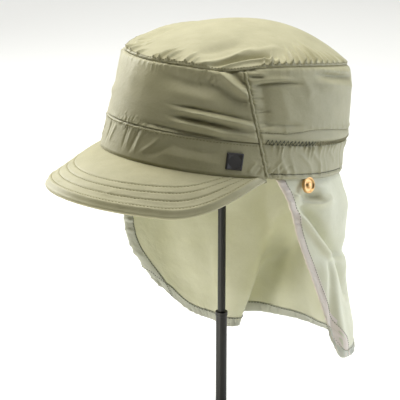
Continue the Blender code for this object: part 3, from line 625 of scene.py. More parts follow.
def pleat_push(across, down):
    """A crest towards the front, steep on its near side, and the hollow beside it."""
    off = across - through(CAPE_CREST, "down", "across", down)
    width = np.where(off > 0, CREST_FAR_WIDTH, CREST_NEAR_WIDTH)
    grown = eased(0.12, 0.75, down) * (1 - 0.45 * eased(0.82, 1.0, down))
    return grown * (CREST_HOLLOW * bump(off + HOLLOW_BESIDE, HOLLOW_WIDTH) - CREST_RISE * bump(off, width))


def fold_push(across, down, rows):
    """How far a table of folds pushes the cape out, in metres."""
    push = np.zeros(across.shape)
    for fold in rows:
        u_a, v_a, u_b, v_b = (fold[k] for k in ("across_a", "down_a", "across_b", "down_b"))
        along_u, along_v = u_b - u_a, v_b - v_a
        length = math.hypot(along_u, along_v)
        t = ((across - u_a) * along_u + (down - v_a) * along_v) / length**2
        off = np.abs((across - u_a) * along_v - (down - v_a) * along_u) / length
        past = np.maximum(0.0, np.maximum(-t, t - 1)) * length
        taper = eased(0.0, 0.3, np.minimum(t + 0.15, 1.15 - t))
        push += CAPE_FOLD_RISE * fold["rise"] * taper * bump(off, fold["width"]) * bump(past, fold["width"])
    return push


# Turning grids of points into cloth


def grid_normals(grid, closed=False):
    """Unit normals of a grid of points, on one side of it."""
    if closed:
        wide = np.concatenate([grid[:, -1:], grid, grid[:, :1]], axis=1)
        along = (wide[:, 2:] - wide[:, :-2]) / 2
    else:
        along = np.gradient(grid, axis=1)
    return unit(np.cross(along, np.gradient(grid, axis=0)))


def facing_out(grid, normals, centre):
    """The normals, turned so that most of them point away from a centre."""
    away = ((grid - np.array(centre)) * normals).sum(axis=-1)
    return normals if np.median(away) > 0 else -normals


def run_length(path):
    return np.concatenate([[0.0], np.cumsum(np.linalg.norm(np.diff(path, axis=0), axis=-1))])


def select_only(piece):
    bpy.ops.object.select_all(action="DESELECT")
    bpy.context.view_layer.objects.active = piece
    piece.select_set(True)


def apply_modifier(piece, kind, **settings):
    modifier = piece.modifiers.new(kind.lower(), kind)
    for key, value in settings.items():
        setattr(modifier, key, value)
    select_only(piece)
    bpy.ops.object.modifier_apply(modifier=modifier.name)
    piece.select_set(False)


def dressed(piece, finishes, replaces=()):
    """Gives a finished piece its materials, hangs it on the root body and hides the solids it replaces."""
    piece.data.materials.clear()
    for finish in finishes if isinstance(finishes, list) else [finishes]:
        piece.data.materials.append(finish)
    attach(piece, "root")
    if replaces:
        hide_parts(*replaces)
    return piece


def mesh_piece(name, points, faces, uv=None, looks=None):
    """A new piece from points and faces, with its UV in mm and the number of each face's material."""
    mesh = bpy.data.meshes.new(name)
    faces = faces.tolist() if hasattr(faces, "tolist") else faces
    mesh.from_pydata(points.reshape(-1, 3).tolist(), [], faces)
    if uv is not None:
        layer = mesh.uv_layers.new(name="cloth")
        corner = np.empty(len(mesh.loops), dtype=np.int32)
        mesh.loops.foreach_get("vertex_index", corner)
        layer.data.foreach_set("uv", uv.reshape(-1, 2)[corner].astype(np.float32).ravel())
    if looks is not None:
        mesh.polygons.foreach_set("material_index", np.asarray(looks, dtype=np.int32))
    mesh.shade_smooth()
    piece = bpy.data.objects.new(name, mesh)
    bpy.context.collection.objects.link(piece)
    return piece


def grid_faces(rows, columns, closed=False, flip=False):
    """The quads of a grid of points. Where it is closed, the last column joins the first."""
    wide = columns if closed else columns - 1
    j, i = np.meshgrid(np.arange(rows - 1), np.arange(wide), indexing="ij")
    after = (i + 1) % columns
    low, high = j * columns, (j + 1) * columns
    quads = np.stack([low + i, low + after, high + after, high + i], axis=-1).reshape(-1, 4)
    return quads[:, ::-1] if flip else quads


def arc_uv(grid):
    """UV in mm: the distance along each row and down each column of a grid."""
    along = np.linalg.norm(np.diff(grid, axis=1), axis=-1).mean(axis=0)
    down = np.linalg.norm(np.diff(grid, axis=0), axis=-1).mean(axis=1)
    u = np.concatenate([[0.0], np.cumsum(along)]) * 1000
    v = np.concatenate([[0.0], np.cumsum(down)]) * 1000
    return np.stack(np.meshgrid(u, v), axis=-1)


def cloth_piece(name, grid, normals, wall, finish, replaces):
    """A wall of cloth whose outer face is a grid of points. The wall goes in, against the normals."""
    rows, columns = grid.shape[:2]
    flip = (grid_normals(grid) * normals).sum(axis=-1).mean() < 0
    piece = mesh_piece(name, grid, grid_faces(rows, columns, False, flip), arc_uv(grid))
    apply_modifier(piece, "SOLIDIFY", thickness=wall, offset=-1.0)
    return dressed(piece, finish, replaces)


def sampled(grid, row, column):
    """Points of a grid at places given as shares of its rows and columns."""
    rows, columns = grid.shape[0] - 1, grid.shape[1] - 1
    r, c = np.clip(row, 0, 1) * rows, np.clip(column, 0, 1) * columns
    r0, c0 = np.minimum(r.astype(int), rows - 1), np.minimum(c.astype(int), columns - 1)
    fr, fc = (r - r0)[..., None], (c - c0)[..., None]
    low = mix(grid[r0, c0], grid[r0, c0 + 1], fc)
    high = mix(grid[r0 + 1, c0], grid[r0 + 1, c0 + 1], fc)
    return mix(low, high, fr)


def swept(name, path, normals, wide_mm, high_mm, corners, finish):
    """A round cord or thread swept along a path on the cloth, closed at both ends."""
    side = unit(np.cross(unit(np.gradient(path, axis=0)), normals))
    turn = np.arange(corners) * 2 * math.pi / corners
    across, out = wide_mm / 2000 * np.cos(turn), high_mm / 2000 * np.sin(turn)
    ring = path[:, None] + side[:, None] * across[None, :, None] + normals[:, None] * out[None, :, None]
    faces = grid_faces(len(path), corners, closed=True).tolist()
    faces += [list(range(corners))[::-1], list(range((len(path) - 1) * corners, len(path) * corners))]
    piece = mesh_piece(name, ring, faces)
    outwards(piece)
    return dressed(piece, finish)


def outwards(piece):
    """Turns all faces of a closed piece outwards."""
    select_only(piece)
    bpy.ops.object.mode_set(mode="EDIT")
    bpy.ops.mesh.select_all(action="SELECT")
    bpy.ops.mesh.normals_make_consistent(inside=False)
    bpy.ops.object.mode_set(mode="OBJECT")
    piece.select_set(False)


def stitches(name, path, normals, finish, pitch_mm, long_mm, thick_mm):
    """A row of thread stitches along a path on the cloth, each a small capsule sunk into it by a third."""
    run = run_length(path) * 1000
    count = max(1, int(run[-1] / pitch_mm))
    centres = (np.arange(count) + 0.5) * run[-1] / count

    def at(distance, values):
        return np.stack([np.interp(distance, run, values[:, k]) for k in range(3)], axis=-1)

    shares = np.array([-0.5, -0.25, 0.25, 0.5])
    widths = np.array([0.25, 1.0, 1.0, 0.25]) * thick_mm / 1000
    places = centres[:, None] + shares[None, :] * long_mm
    points, up = at(places.ravel(), path), unit(at(places.ravel(), normals))
    points, up = points.reshape(count, 4, 3), up.reshape(count, 4, 3)
    side = np.cross(unit(np.gradient(points, axis=1)), up)
    turn = np.radians(np.arange(6) * 60.0)
    dip = np.array([-1.2, 0.0, 0.0, -1.2])[None, :, None, None] * thick_mm / 1000
    ring = side[:, :, None] * np.cos(turn)[None, None, :, None]
    ring = ring + up[:, :, None] * np.sin(turn)[None, None, :, None]
    solid = points[:, :, None] + ring * widths[None, :, None, None]
    solid = solid + up[:, :, None] * (dip + thick_mm / 1000 * (1 - STITCH_SINK))
    one = np.array(grid_faces(4, 6, closed=True))
    faces = []
    for k in range(count):
        faces += (one + 24 * k).tolist()
        faces += [[n + 24 * k for n in range(5, -1, -1)], [n + 24 * k for n in range(18, 24)]]
    piece = mesh_piece(name, solid, faces)
    outwards(piece)
    return dressed(piece, finish)


# Materials

# Threads lie about 0.2 mm apart, too fine for the render to show, so they are drawn this far apart
THREAD_MM = 0.9


def linear(text):
    """An sRGB hex colour as linear red, green, blue and alpha."""
    parts = [int(text[k : k + 2], 16) / 255 for k in (1, 3, 5)]
    return (*(c / 12.92 if c <= 0.04045 else ((c + 0.055) / 1.055) ** 2.4 for c in parts), 1.0)


def node(tree, kind, settings=(), links=()):
    """Adds a node, sets its properties or sockets by name, and links sockets to what feeds them."""
    made = tree.nodes.new(kind)
    for key, value in dict(settings).items():
        if isinstance(key, str) and hasattr(made, key):
            setattr(made, key, value)
        else:
            made.inputs[key].default_value = value
    for key, source in dict(links).items():
        tree.links.new(source, made.inputs[key])
    return made


def new_material(name, **sockets):
    """A material whose shader has these sockets set, each named with _ for a space."""
    made = bpy.data.materials.new(name)
    made.use_nodes = True
    shader = made.node_tree.nodes["Principled BSDF"]
    for key, value in sockets.items():
        shader.inputs[key.replace("_", " ")].default_value = value
    return made, made.node_tree, shader


def woven(name, light, dark, rough, weave, thin=0.0):
    """Plain-woven nylon: a fine even grid of threads, a soft sheen and a slightly uneven dye."""
    made, tree, shader = new_material(
        name, Roughness=rough, Sheen_Weight=0.10, Sheen_Roughness=0.45, Specular_IOR_Level=0.35,
        Subsurface_Weight=thin, Subsurface_Radius=(1.0, 1.0, 0.9), Subsurface_Scale=0.004,
    )
    place = node(tree, "ShaderNodeTexCoord").outputs["UV"]
    # The UV is in mm, so the dye's blotches are about 20 mm across and the thicker threads' marks 1.2 mm
    blotch = node(tree, "ShaderNodeTexNoise", {"Scale": 0.05, "Detail": 3.0}, {"Vector": place})
    slub = node(tree, "ShaderNodeTexNoise", {"Scale": 0.8, "Detail": 2.0}, {"Vector": place})
    tone = node(
        tree, "ShaderNodeMath", {"operation": "MULTIPLY_ADD", 1: 0.35},
        {0: slub.outputs["Fac"], 2: blotch.outputs["Fac"]},
    )
    spread = node(
        tree, "ShaderNodeMapRange", {"From Min": 0.45, "From Max": 0.95}, {"Value": tone.outputs[0]}
    )
    colour = node(
        tree, "ShaderNodeMix", {"data_type": "RGBA", 6: linear(light), 7: linear(dark)},
        {0: spread.outputs["Result"]},
    )
    tree.links.new(colour.outputs[2], shader.inputs["Base Color"])
    # A wave of scale s on a UV in mm repeats every 0.314 / s mm
    bands = {"wave_type": "BANDS", "Scale": 0.314 / THREAD_MM}
    warp = node(tree, "ShaderNodeTexWave", bands | {"bands_direction": "X"}, {"Vector": place})
    weft = node(tree, "ShaderNodeTexWave", bands | {"bands_direction": "Y"}, {"Vector": place})
    grid = node(
        tree, "ShaderNodeMath", {"operation": "MULTIPLY"}, {0: warp.outputs["Fac"], 1: weft.outputs["Fac"]}
    )
    relief = node(
        tree, "ShaderNodeBump", {"Strength": weave, "Distance": 0.0003}, {"Height": grid.outputs[0]}
    )
    soft = node(tree, "ShaderNodeTexNoise", {"Scale": 0.14, "Detail": 3.0}, {"Vector": place})
    rumple = node(
        tree, "ShaderNodeBump", {"Strength": 0.30, "Distance": 0.0012},
        {"Height": soft.outputs["Fac"], "Normal": relief.outputs["Normal"]},
    )
    tree.links.new(rumple.outputs["Normal"], shader.inputs["Normal"])
    return made


def plain(name, colour, rough, metallic=0.0, grain_mm=0.6, grain=0.08):
    """A smooth finish with a trace of unevenness in its gloss and surface."""
    made, tree, shader = new_material(name, Base_Color=linear(colour), Metallic=metallic)
    place = node(tree, "ShaderNodeTexCoord").outputs["Object"]
    noise = node(tree, "ShaderNodeTexNoise", {"Scale": 1000 / grain_mm, "Detail": 3.0}, {"Vector": place})
    gloss = node(
        tree, "ShaderNodeMapRange", {"To Min": rough * 0.85, "To Max": rough * 1.15},
        {"Value": noise.outputs["Fac"]},
    )
    relief = node(
        tree, "ShaderNodeBump", {"Strength": grain, "Distance": 0.0002}, {"Height": noise.outputs["Fac"]}
    )
    tree.links.new(gloss.outputs["Result"], shader.inputs["Roughness"])
    tree.links.new(relief.outputs["Normal"], shader.inputs["Normal"])
    return made


# Dyed nylon with a dull, slightly crisp hand: the eye sees soft broad lights on the creases
shell_nylon = woven("khaki_matt_nylon", SHELL_HEX, SHELL_SHADE_HEX, rough=0.50, weave=0.25)
# A single thin layer: paler, and light that falls on one side shows faintly on the other
cape_nylon = woven("pale_thin_nylon", CAPE_HEX, CAPE_SHADE_HEX, rough=0.55, weave=0.15, thin=0.20)
# The same cloth folded twice: greyer, and no light comes through it
hem_nylon = woven("doubled_nylon_hem", HEM_HEX, HEM_SHADE_HEX, rough=0.55, weave=0.25)
# Woven tape: a coarser weave with a faint warm tint
tape_nylon = woven("pale_grey_edge_tape", TAPE_HEX, TAPE_SHADE_HEX, rough=0.55, weave=0.4)
# Spun thread is matt and a little darker than the cloth round it, so a row reads as a fine broken line
thread = plain("spun_polyester_thread", THREAD_HEX, 0.6)
peak_thread = plain("matching_khaki_thread", PEAK_THREAD_HEX, 0.6)
zigzag_thread = plain("dark_green_thread", ZIGZAG_HEX, 0.7)
# Moulded rubber is matt with a fine grain, almost without a highlight
patch_rubber = plain("matt_moulded_rubber", PATCH_HEX, 0.6, grain_mm=0.4, grain=0.2)
# Brass, its polish a little dulled: warm, with wide soft reflections on its rings
brass = plain("polished_brass", BRASS_HEX, 0.36, 1.0)
# Baked enamel shows soft grey lights on black, the rod's blackened steel a duller line
enamel = plain("satin_black_enamel", ENAMEL_HEX, 0.5)
steel = plain("blackened_steel", STEEL_HEX, 0.55)
# Moulded plastic, a shade paler than the enamel and grainier
plastic = plain("matt_black_plastic", PLASTIC_HEX, 0.6, grain_mm=0.9, grain=0.15)


# Crown


def build_top():
    """The top as rings round its middle, closer together in the outer part, where the gathers are."""
    columns = 670
    angle = np.arange(columns) * 360.0 / columns
    share = 1 - np.concatenate([np.linspace(0, 0.16, 26)[:-1], np.linspace(0.16, 0.985, 27)])
    a, s = np.meshgrid(angle, share)
    level, inward = top_point(a, s)
    normals = facing_out(level, grid_normals(level, closed=True), (0, 0, 0))
    grid = tipped(level + normals * top_push(level, a, inward)[..., None])
    uv = level[..., :2] * 1000
    normals = facing_out(grid, grid_normals(grid, closed=True), (0, 0, BAND_LIFT))
    flip = (grid_normals(grid, True) * normals).sum(axis=-1).mean() < 0
    rings = len(share)
    faces = grid_faces(rings, columns, True, flip).tolist()
    last = list(range((rings - 1) * columns, rings * columns))
    faces.append(last[::-1] if flip else last)
    piece = mesh_piece("top_panel", grid, faces, uv)
    apply_modifier(piece, "SOLIDIFY", thickness=CLOTH, offset=-1.0)
    dressed(piece, shell_nylon, ["crown_top"])
    return grid, normals


def build_side(name, low_deg, high_deg, low, high, push, wall, rows, columns, replaces, slot):
    """A panel between two side seams. The edges lean with the seams."""
    across, up = np.meshgrid(np.linspace(0, 1, columns), np.linspace(0, 1, rows))
    middle = mix(low_deg(0.5), high_deg(0.5), across)
    share = mix(low(middle), high(middle), up) / seam_height(middle)
    angle = mix(low_deg(share), high_deg(share), across)
    height = mix(low(angle), high(angle), up)
    grid = tipped(side_point(angle, height, push(angle, height)))
    normals = facing_out(grid, grid_normals(grid), (0, 0, BAND_LIFT + 0.03))
    cloth_piece(name, grid, normals, wall, shell_nylon, replaces)


SEAM_CLEAR_DEG = math.degrees(SEAM_GAP / 2 / HALF_WIDTH)


def front_low(share):
    return -seam_angle(share) + SEAM_CLEAR_DEG


def front_high(share):
    return seam_angle(share) - SEAM_CLEAR_DEG


def back_low(share):
    return seam_angle(share) + SEAM_CLEAR_DEG


def back_high(share):
    return 360.0 - seam_angle(share) - SEAM_CLEAR_DEG


def band_foot(angle):
    """Level with the cape's seam at the back, and pressed on the peak at the front."""
    return np.where(np.abs(from_front(angle)) < SEAM_FOOT_DEG, -0.0006, 0.0)


def band_head(angle):
    """The band's upper edge is tucked under the crown."""
    return np.full_like(angle, BAND_HEIGHT + 0.0010)


def crown_foot(angle):
    return np.full_like(angle, BAND_HEIGHT + SEAM_GAP / 2)


top_grid, top_normals = build_top()
for name, ends, foot, head, push, wall, rows, columns, node_name, slot in (
    ("front_panel", (front_low, front_high), crown_foot, seam_height, crown_side_push, CLOTH, 104, 284,
     "crown_front", "khaki_nylon"),
    ("back_panel", (back_low, back_high), crown_foot, seam_height, crown_side_push, CLOTH, 96, 430,
     "crown_back", "khaki_nylon"),
    ("front_band", (front_low, front_high), band_foot, band_head, band_push, BAND_CLOTH, 44, 310,
     "band_front", "khaki_nylon_band"),
    ("back_band", (back_low, back_high), band_foot, band_head, band_push, BAND_CLOTH, 40, 440,
     "band_back", "khaki_nylon_band"),
):
    build_side(name, *ends, foot, head, push, wall, rows, columns, [node_name], slot)


def build_seams():
    """Piping on the side seams, and the rows of stitches and zigzag on crown and band."""
    for side, sign in (("left", 1), ("right", -1)):
        share = np.linspace(0.012, 0.985, 150)
        angle = sign * seam_angle(share)
        height = share * seam_height(angle)
        wander = 0.0002 * np.sin(share * 61.0) + 0.00015 * np.sin(share * 143.0 + sign)
        path = tipped(side_point(angle + sign * wander / HALF_WIDTH * 57.3, height, -0.0002 + wander))
        swept(f"side_piping_{side}", path, side_facing(angle), 2.0, 1.9, 8, shell_nylon)
    flap = np.linspace(SEAM_FOOT_DEG - 4.0, 364.0 - SEAM_FOOT_DEG, 700)
    height = flap_stitch_mm(flap) / 1000
    path = tipped(side_point(flap, height, crown_side_push(flap, height)))
    stitches(
        "flap_stitches", path, side_facing(flap), thread,
        pitch_mm=2.4, long_mm=1.7, thick_mm=0.28,
    )
    for name, start, stop, finish in (
        ("flap_zigzag_left", SEAM_FOOT_DEG - 3.0, 95.0, zigzag_thread),
        ("flap_zigzag_back", 95.6, 264.4, thread),
        ("flap_zigzag_right", 265.0, 363.0 - SEAM_FOOT_DEG, zigzag_thread),
    ):
        step = np.arange(int((stop - start) * MM_PER_DEG / 1.5))
        zig = mix(start, stop, step / (len(step) - 1))
        height = BAND_HEIGHT + np.where(step % 2, 0.0030, -0.0004)
        path = tipped(side_point(zig, height, crown_side_push(zig, height) + 0.0005))
        swept(name, path, side_facing(zig), 0.6, 0.7, 5, finish)
    foot = np.linspace(SEAM_FOOT_DEG + 1.5, 358.5 - SEAM_FOOT_DEG, 700)
    height = np.full_like(foot, 0.0035)
    path = tipped(side_point(foot, height, band_push(foot, height)))
    stitches(
        "foot_stitches", path, side_facing(foot), zigzag_thread,
        pitch_mm=2.3, long_mm=1.5, thick_mm=0.34,
    )
    front = np.linspace(-SEAM_FOOT_DEG + 5.0, SEAM_FOOT_DEG - 5.0, 500)
    height = np.full_like(front, BAND_HEIGHT - 0.0021)
    path = tipped(side_point(front, height, band_push(front, height)))
    stitches(
        "band_stitches", path, side_facing(front), thread,
        pitch_mm=2.4, long_mm=1.7, thick_mm=0.26,
    )
    column = np.linspace(0, 699 / 700, 1400)
    row = np.full_like(column, 1.9 / 50)
    path, facing = sampled(top_grid, row, column), unit(sampled(top_normals, row, column))
    stitches(
        "top_seam_stitches", path, facing, thread, pitch_mm=2.3, long_mm=1.6, thick_mm=0.26
    )


build_seams()


# Peak


def build_peak():
    """A board between two cloths. Its rows run out on top, round the rim and back below."""
    columns, top_rows, rim_rows, under_rows = 300, 100, 12, 26
    share = np.linspace(-0.999, 0.999, columns)
    out = np.linspace(0, 1, top_rows)
    s, o = np.meshgrid(share, out)
    top = peak_point(s, o)
    normals = grid_normals(top)
    normals = normals if normals[top_rows // 2, columns // 2, 2] > 0 else -normals
    reach = np.linalg.norm(top[-1] - top[0], axis=-1)[None, :] * 1000
    from_rim = (1 - o) * reach
    pull = np.zeros_like(from_rim)
    chance = np.random.default_rng(31)
    for row in PEAK_ROWS_MM:
        pull -= 0.0005 * bump(from_rim - row, 0.6) * eased(0.0, 3.0, reach - row)
    pull += 0.0009 * bump(from_rim - 4.0, 2.2) - 0.0006 * eased(3.4, 0.0, from_rim)
    for k in range(70):
        place = chance.uniform(-0.95, 0.95)
        row = PEAK_ROWS_MM[k % 4] + chance.uniform(-0.6, 2.2)
        pucker = bump((s - place) * 95, 1.3) * bump(from_rim - row, 1.5)
        pull += 0.00022 * pucker * eased(0.0, 3.0, reach - row)
    top = top + normals * pull[..., None]
    rim_out = unit(top[-1] - top[-3])
    radius = PEAK_THICKNESS / 2
    turn = np.linspace(0, math.pi, rim_rows + 2)[1:-1]
    middle = top[-1] - normals[-1] * radius
    rim = np.stack([
        middle + normals[-1] * radius * math.cos(t) + rim_out * radius * math.sin(t) for t in turn
    ])
    s2, o2 = np.meshgrid(share, np.linspace(1, 0, under_rows))
    under = peak_point(s2, o2)
    under_normals = grid_normals(under)
    under_normals = under_normals if under_normals[under_rows // 2, columns // 2, 2] > 0 else -under_normals
    under = under - under_normals * PEAK_THICKNESS
    grid = tipped(np.concatenate([top, rim, under]))
    rows = len(grid)
    first, last = np.arange(columns), (rows - 1) * columns + np.arange(columns)
    back = np.stack([last[:-1], last[1:], first[1:], first[:-1]], axis=-1)
    faces = np.concatenate([grid_faces(rows, columns), back]).tolist()
    faces.append([j * columns for j in range(rows)])
    faces.append([j * columns + columns - 1 for j in range(rows)][::-1])
    u = np.broadcast_to((share * 150)[None, :], grid.shape[:2])
    v = np.concatenate([out * 55, 55 + turn * 1.5, 60 + (1 - o2[:, 0]) * 55])[:, None] + np.zeros_like(u)
    piece = mesh_piece("peak_board", grid, faces, np.stack([u, v], axis=-1))
    outwards(piece)
    dressed(piece, shell_nylon, ["peak"])
    top = tipped(top)
    facing = leaned(normals)
    for k, row in enumerate(PEAK_ROWS_MM):
        fits = reach[0] > row + 1.5
        at = (share[fits] + 0.999) / 1.998
        depth = 1 - row / reach[0][fits]
        stitches(
            f"peak_stitches_{k + 1}", sampled(top, depth, at), unit(sampled(facing, depth, at)), peak_thread,
            pitch_mm=2.5, long_mm=1.8, thick_mm=0.26,
        )


build_peak()


# Cape

CAPE_COLUMNS, CAPE_ROWS = 290, 150
cape_across, cape_down = np.meshgrid(np.linspace(0, 1, CAPE_COLUMNS), np.linspace(0, 1, CAPE_ROWS))


def cape_detail(across, down, wide_mm, deep_mm):
    """Folds of the scene's own, the pleats of the hem and the puckers of the tapes."""
    from_hem, from_near, from_far = (1 - down) * deep_mm, across * wide_mm, (1 - across) * wide_mm
    push = fold_push(across, down, CAPE_DETAILS)
    push += gather_push("hem", across * HEM_SPREAD_MM, from_hem)
    push += gather_push("near tape", down * deep_mm, from_near)
    push -= gather_push("far tape", down * deep_mm, from_far)
    push += gather_push("cape head", across * HEAD_SPREAD_MM, down * deep_mm)
    stud_across, stud_down = (across - STUD_ACROSS) * HEAD_SPREAD_MM, (down - STUD_DOWN) * deep_mm
    push -= STUD_DIMPLE * bump(np.hypot(stud_across * 0.8, stud_down - 5.0), 8.0)
    return push * eased(0.0, 0.03, down)


def build_cape():
    """The sheet with its folds, its head tucked up inside the band."""
    smooth = cape_smooth(cape_across, cape_down)
    normals = facing_out(smooth, grid_normals(smooth), (0, 0, 0.15))
    wide_mm = 1000 * np.linalg.norm(np.diff(smooth, axis=1), axis=-1).sum(axis=1)[:, None]
    deep_mm = 1000 * np.linalg.norm(np.diff(smooth, axis=0), axis=-1).sum(axis=0)[None, :]
    push = fold_push(cape_across, cape_down, CAPE_FOLDS) * eased(0.0, 0.05, cape_down)
    push += pleat_push(cape_across, cape_down) + cape_detail(cape_across, cape_down, wide_mm, deep_mm)
    grid = smooth + normals * (push + CAPE_CLOTH / 2)[..., None]
    normals = facing_out(grid, grid_normals(grid), (0, 0, 0.15))
    tuck = [
        cape_head(cape_across[0], np.full(CAPE_COLUMNS, CAPE_TUCK * k / 4 - SEAM_GAP)) for k in (4, 3, 2, 1)
    ]
    whole = np.concatenate([np.stack(tuck), grid])
    facing = np.concatenate([np.repeat(normals[:1], 4, axis=0), normals])
    piece = cloth_piece(
        "cape", whole, facing, CAPE_CLOTH, cape_nylon, ["neck_cape", "cape_hem"]
    )
    return grid, normals, piece


cape_grid, cape_normals, cape = build_cape()


def edge_strip(name, inset_row, inset_column, edge_row, edge_column, outer, inner, slot):
    """Cloth folded round a free edge of the cape, from inside it to outside it."""
    steps = 7
    inner_face, outer_face = [], []
    for t in np.linspace(0.0, 1.0, steps):
        row, column = mix(inset_row, edge_row, t), mix(inset_column, edge_column, t)
        spot, facing = sampled(cape_grid, row, column), unit(sampled(cape_normals, row, column))
        proud = 0.00045 * min(1.0, t * 6)
        inner_face.append(spot - facing * (CAPE_CLOTH + proud))
        outer_face.insert(0, spot + facing * proud)
    spot, facing = sampled(cape_grid, edge_row, edge_column), sampled(cape_normals, edge_row, edge_column)
    inside = sampled(cape_grid, mix(inset_row, edge_row, 0.7), mix(inset_column, edge_column, 0.7))
    away, middle = unit(spot - inside), spot - facing * CAPE_CLOTH / 2
    roll = [
        middle + away * 0.0011 * math.cos(t) + facing * 0.0010 * math.sin(t)
        for t in np.radians(np.linspace(-90, 90, 7)[1:-1])
    ]
    grid = np.stack(inner_face + roll + outer_face)
    rows, columns = grid.shape[:2]
    normals = grid_normals(grid)
    flip = (normals[-2] * facing).sum(axis=-1).mean() < 0
    looks = np.repeat([0] * steps + [1] * (rows - 1 - steps), columns - 1)
    piece = mesh_piece(name, grid, grid_faces(rows, columns, False, flip), arc_uv(grid), looks)
    apply_modifier(piece, "SOLIDIFY", thickness=0.0004, offset=-1.0)
    return dressed(piece, [inner, outer])


def strip_share(row, column, row_way, column_way, width):
    """How far in from an edge, as a share of the grid, a strip of this true width reaches."""
    edge = sampled(cape_grid, row, column)
    inner = sampled(cape_grid, row + 0.03 * row_way, column + 0.03 * column_way)
    along = unit(np.gradient(edge, axis=0))
    inwards = inner - edge
    square = inwards - along * (inwards * along).sum(axis=-1, keepdims=True)
    share = 0.03 * width / np.maximum(np.linalg.norm(square, axis=-1), 0.001)
    smooth = np.convolve(np.pad(share, 12, mode="edge"), np.ones(25) / 25, mode="valid")
    return np.minimum(smooth, 0.12)


def build_edges():
    """Tape round the two front edges, a turned hem round the foot, and their stitches."""
    made = []
    down, across = np.linspace(0.005, 1.0, 260), np.linspace(0.0, 1.0, 520)
    near, far, foot = np.zeros_like(down), np.ones_like(down), np.ones_like(across)
    near_share = strip_share(down, near, 0.0, 1.0, NEAR_TAPE_WIDTH)
    far_share = strip_share(down, far, 0.0, -1.0, FAR_TAPE_WIDTH)
    hem_share = strip_share(foot, across, -1.0, 0.0, TURNED_HEM_WIDTH)
    for name, inset, edge, outer, inner in (
        ("cape_hem_fold", (1 - hem_share, across), (foot, across), cape_nylon, hem_nylon),
        ("front_tape_left", (down, near_share), (down, near), tape_nylon, tape_nylon),
        ("front_tape_right", (down, far - far_share), (down, far), hem_nylon, hem_nylon),
    ):
        made.append(edge_strip(name, *inset, *edge, outer, inner, "folded_hem"))
    for name, row, column in (
        ("tape_stitches_left", down, near_share * 0.86), ("tape_stitches_right", down, 1 - far_share * 0.86),
        ("hem_stitches", 1 - hem_share * 0.88, across),
    ):
        facing = unit(sampled(cape_normals, row, column))
        outer = sampled(cape_grid, row, column)
        for end, spot, out, finish, long_mm in (
            ("_out", outer + facing * 0.0005, facing, thread, 1.7),
            ("_in", outer - facing * (CAPE_CLOTH + 0.0005), -facing, zigzag_thread, 1.8),
        ):
            made.append(stitches(
                name + end, spot, out, finish, pitch_mm=2.4, long_mm=long_mm, thick_mm=0.26
            ))
    return made


cape_edges = build_edges()


# Patch and studs


def build_patch():
    """A bare moulded patch with a fine raised border, pressed on the band."""
    angle = np.array([PATCH_ANGLE_DEG])
    height = np.array([BAND_HEIGHT * PATCH_HEIGHT_SHARE])
    centre = tipped(side_point(angle, height, 0.0))[0]
    out = side_facing(angle)[0]
    along = unit(np.cross(leaned(np.array([0.0, 0.0, 1.0])), out))
    up = np.cross(out, along)
    bpy.ops.object.select_all(action="DESELECT")
    bpy.ops.mesh.primitive_cube_add(size=1.0, calc_uvs=False)
    piece = bpy.context.active_object
    piece.name = "band_patch"
    piece.dimensions = (PATCH_SIDE, PATCH_SIDE, PATCH_THICKNESS + 0.0006)
    bpy.ops.object.transform_apply(location=False, rotation=False, scale=True)
    bpy.ops.object.mode_set(mode="EDIT")
    bpy.ops.mesh.select_all(action="DESELECT")
    bpy.ops.object.mode_set(mode="OBJECT")
    for edge in piece.data.edges:
        a, b = (piece.data.vertices[k].co for k in edge.vertices)
        edge.select = abs(a.z - b.z) > 1e-4
    bpy.ops.object.mode_set(mode="EDIT")
    bpy.ops.mesh.select_mode(type="EDGE")
    bpy.ops.mesh.bevel(offset=0.0009, segments=5)
    bpy.ops.mesh.select_mode(type="FACE")
    bpy.ops.mesh.select_all(action="DESELECT")
    bpy.ops.object.mode_set(mode="OBJECT")
    for face in piece.data.polygons:
        face.select = face.normal.z > 0.9
    bpy.ops.object.mode_set(mode="EDIT")
    bpy.ops.mesh.inset(thickness=0.0009, depth=0.0)
    bpy.ops.mesh.inset(thickness=0.0003, depth=-0.00035)
    bpy.ops.object.mode_set(mode="OBJECT")
    apply_modifier(piece, "BEVEL", width=0.00022, segments=2, limit_method="ANGLE")
    frame_turn = Matrix((along, up, out)).transposed().to_4x4()
    place = Vector(centre + out * (PATCH_THICKNESS - 0.0006) / 2)
    piece.data.transform(Matrix.Translation(place) @ frame_turn)
    piece.matrix_world = Matrix.Identity(4)
    select_only(piece)
    bpy.ops.object.shade_smooth_by_angle(angle=math.radians(35))
    piece.select_set(False)
    dressed(piece, patch_rubber, ["patch"])


# From the rim to the middle: the rolled ring, the recess and the raised centre
STUD_STEPS = listed(
    "thickness depth",
    (0.0005, 0.0006), (0.0007, 0.0), (0.0005, -0.0011), (0.0019, 0.0001), (0.0004, 0.0007), (0.0006, 0.0003),
)


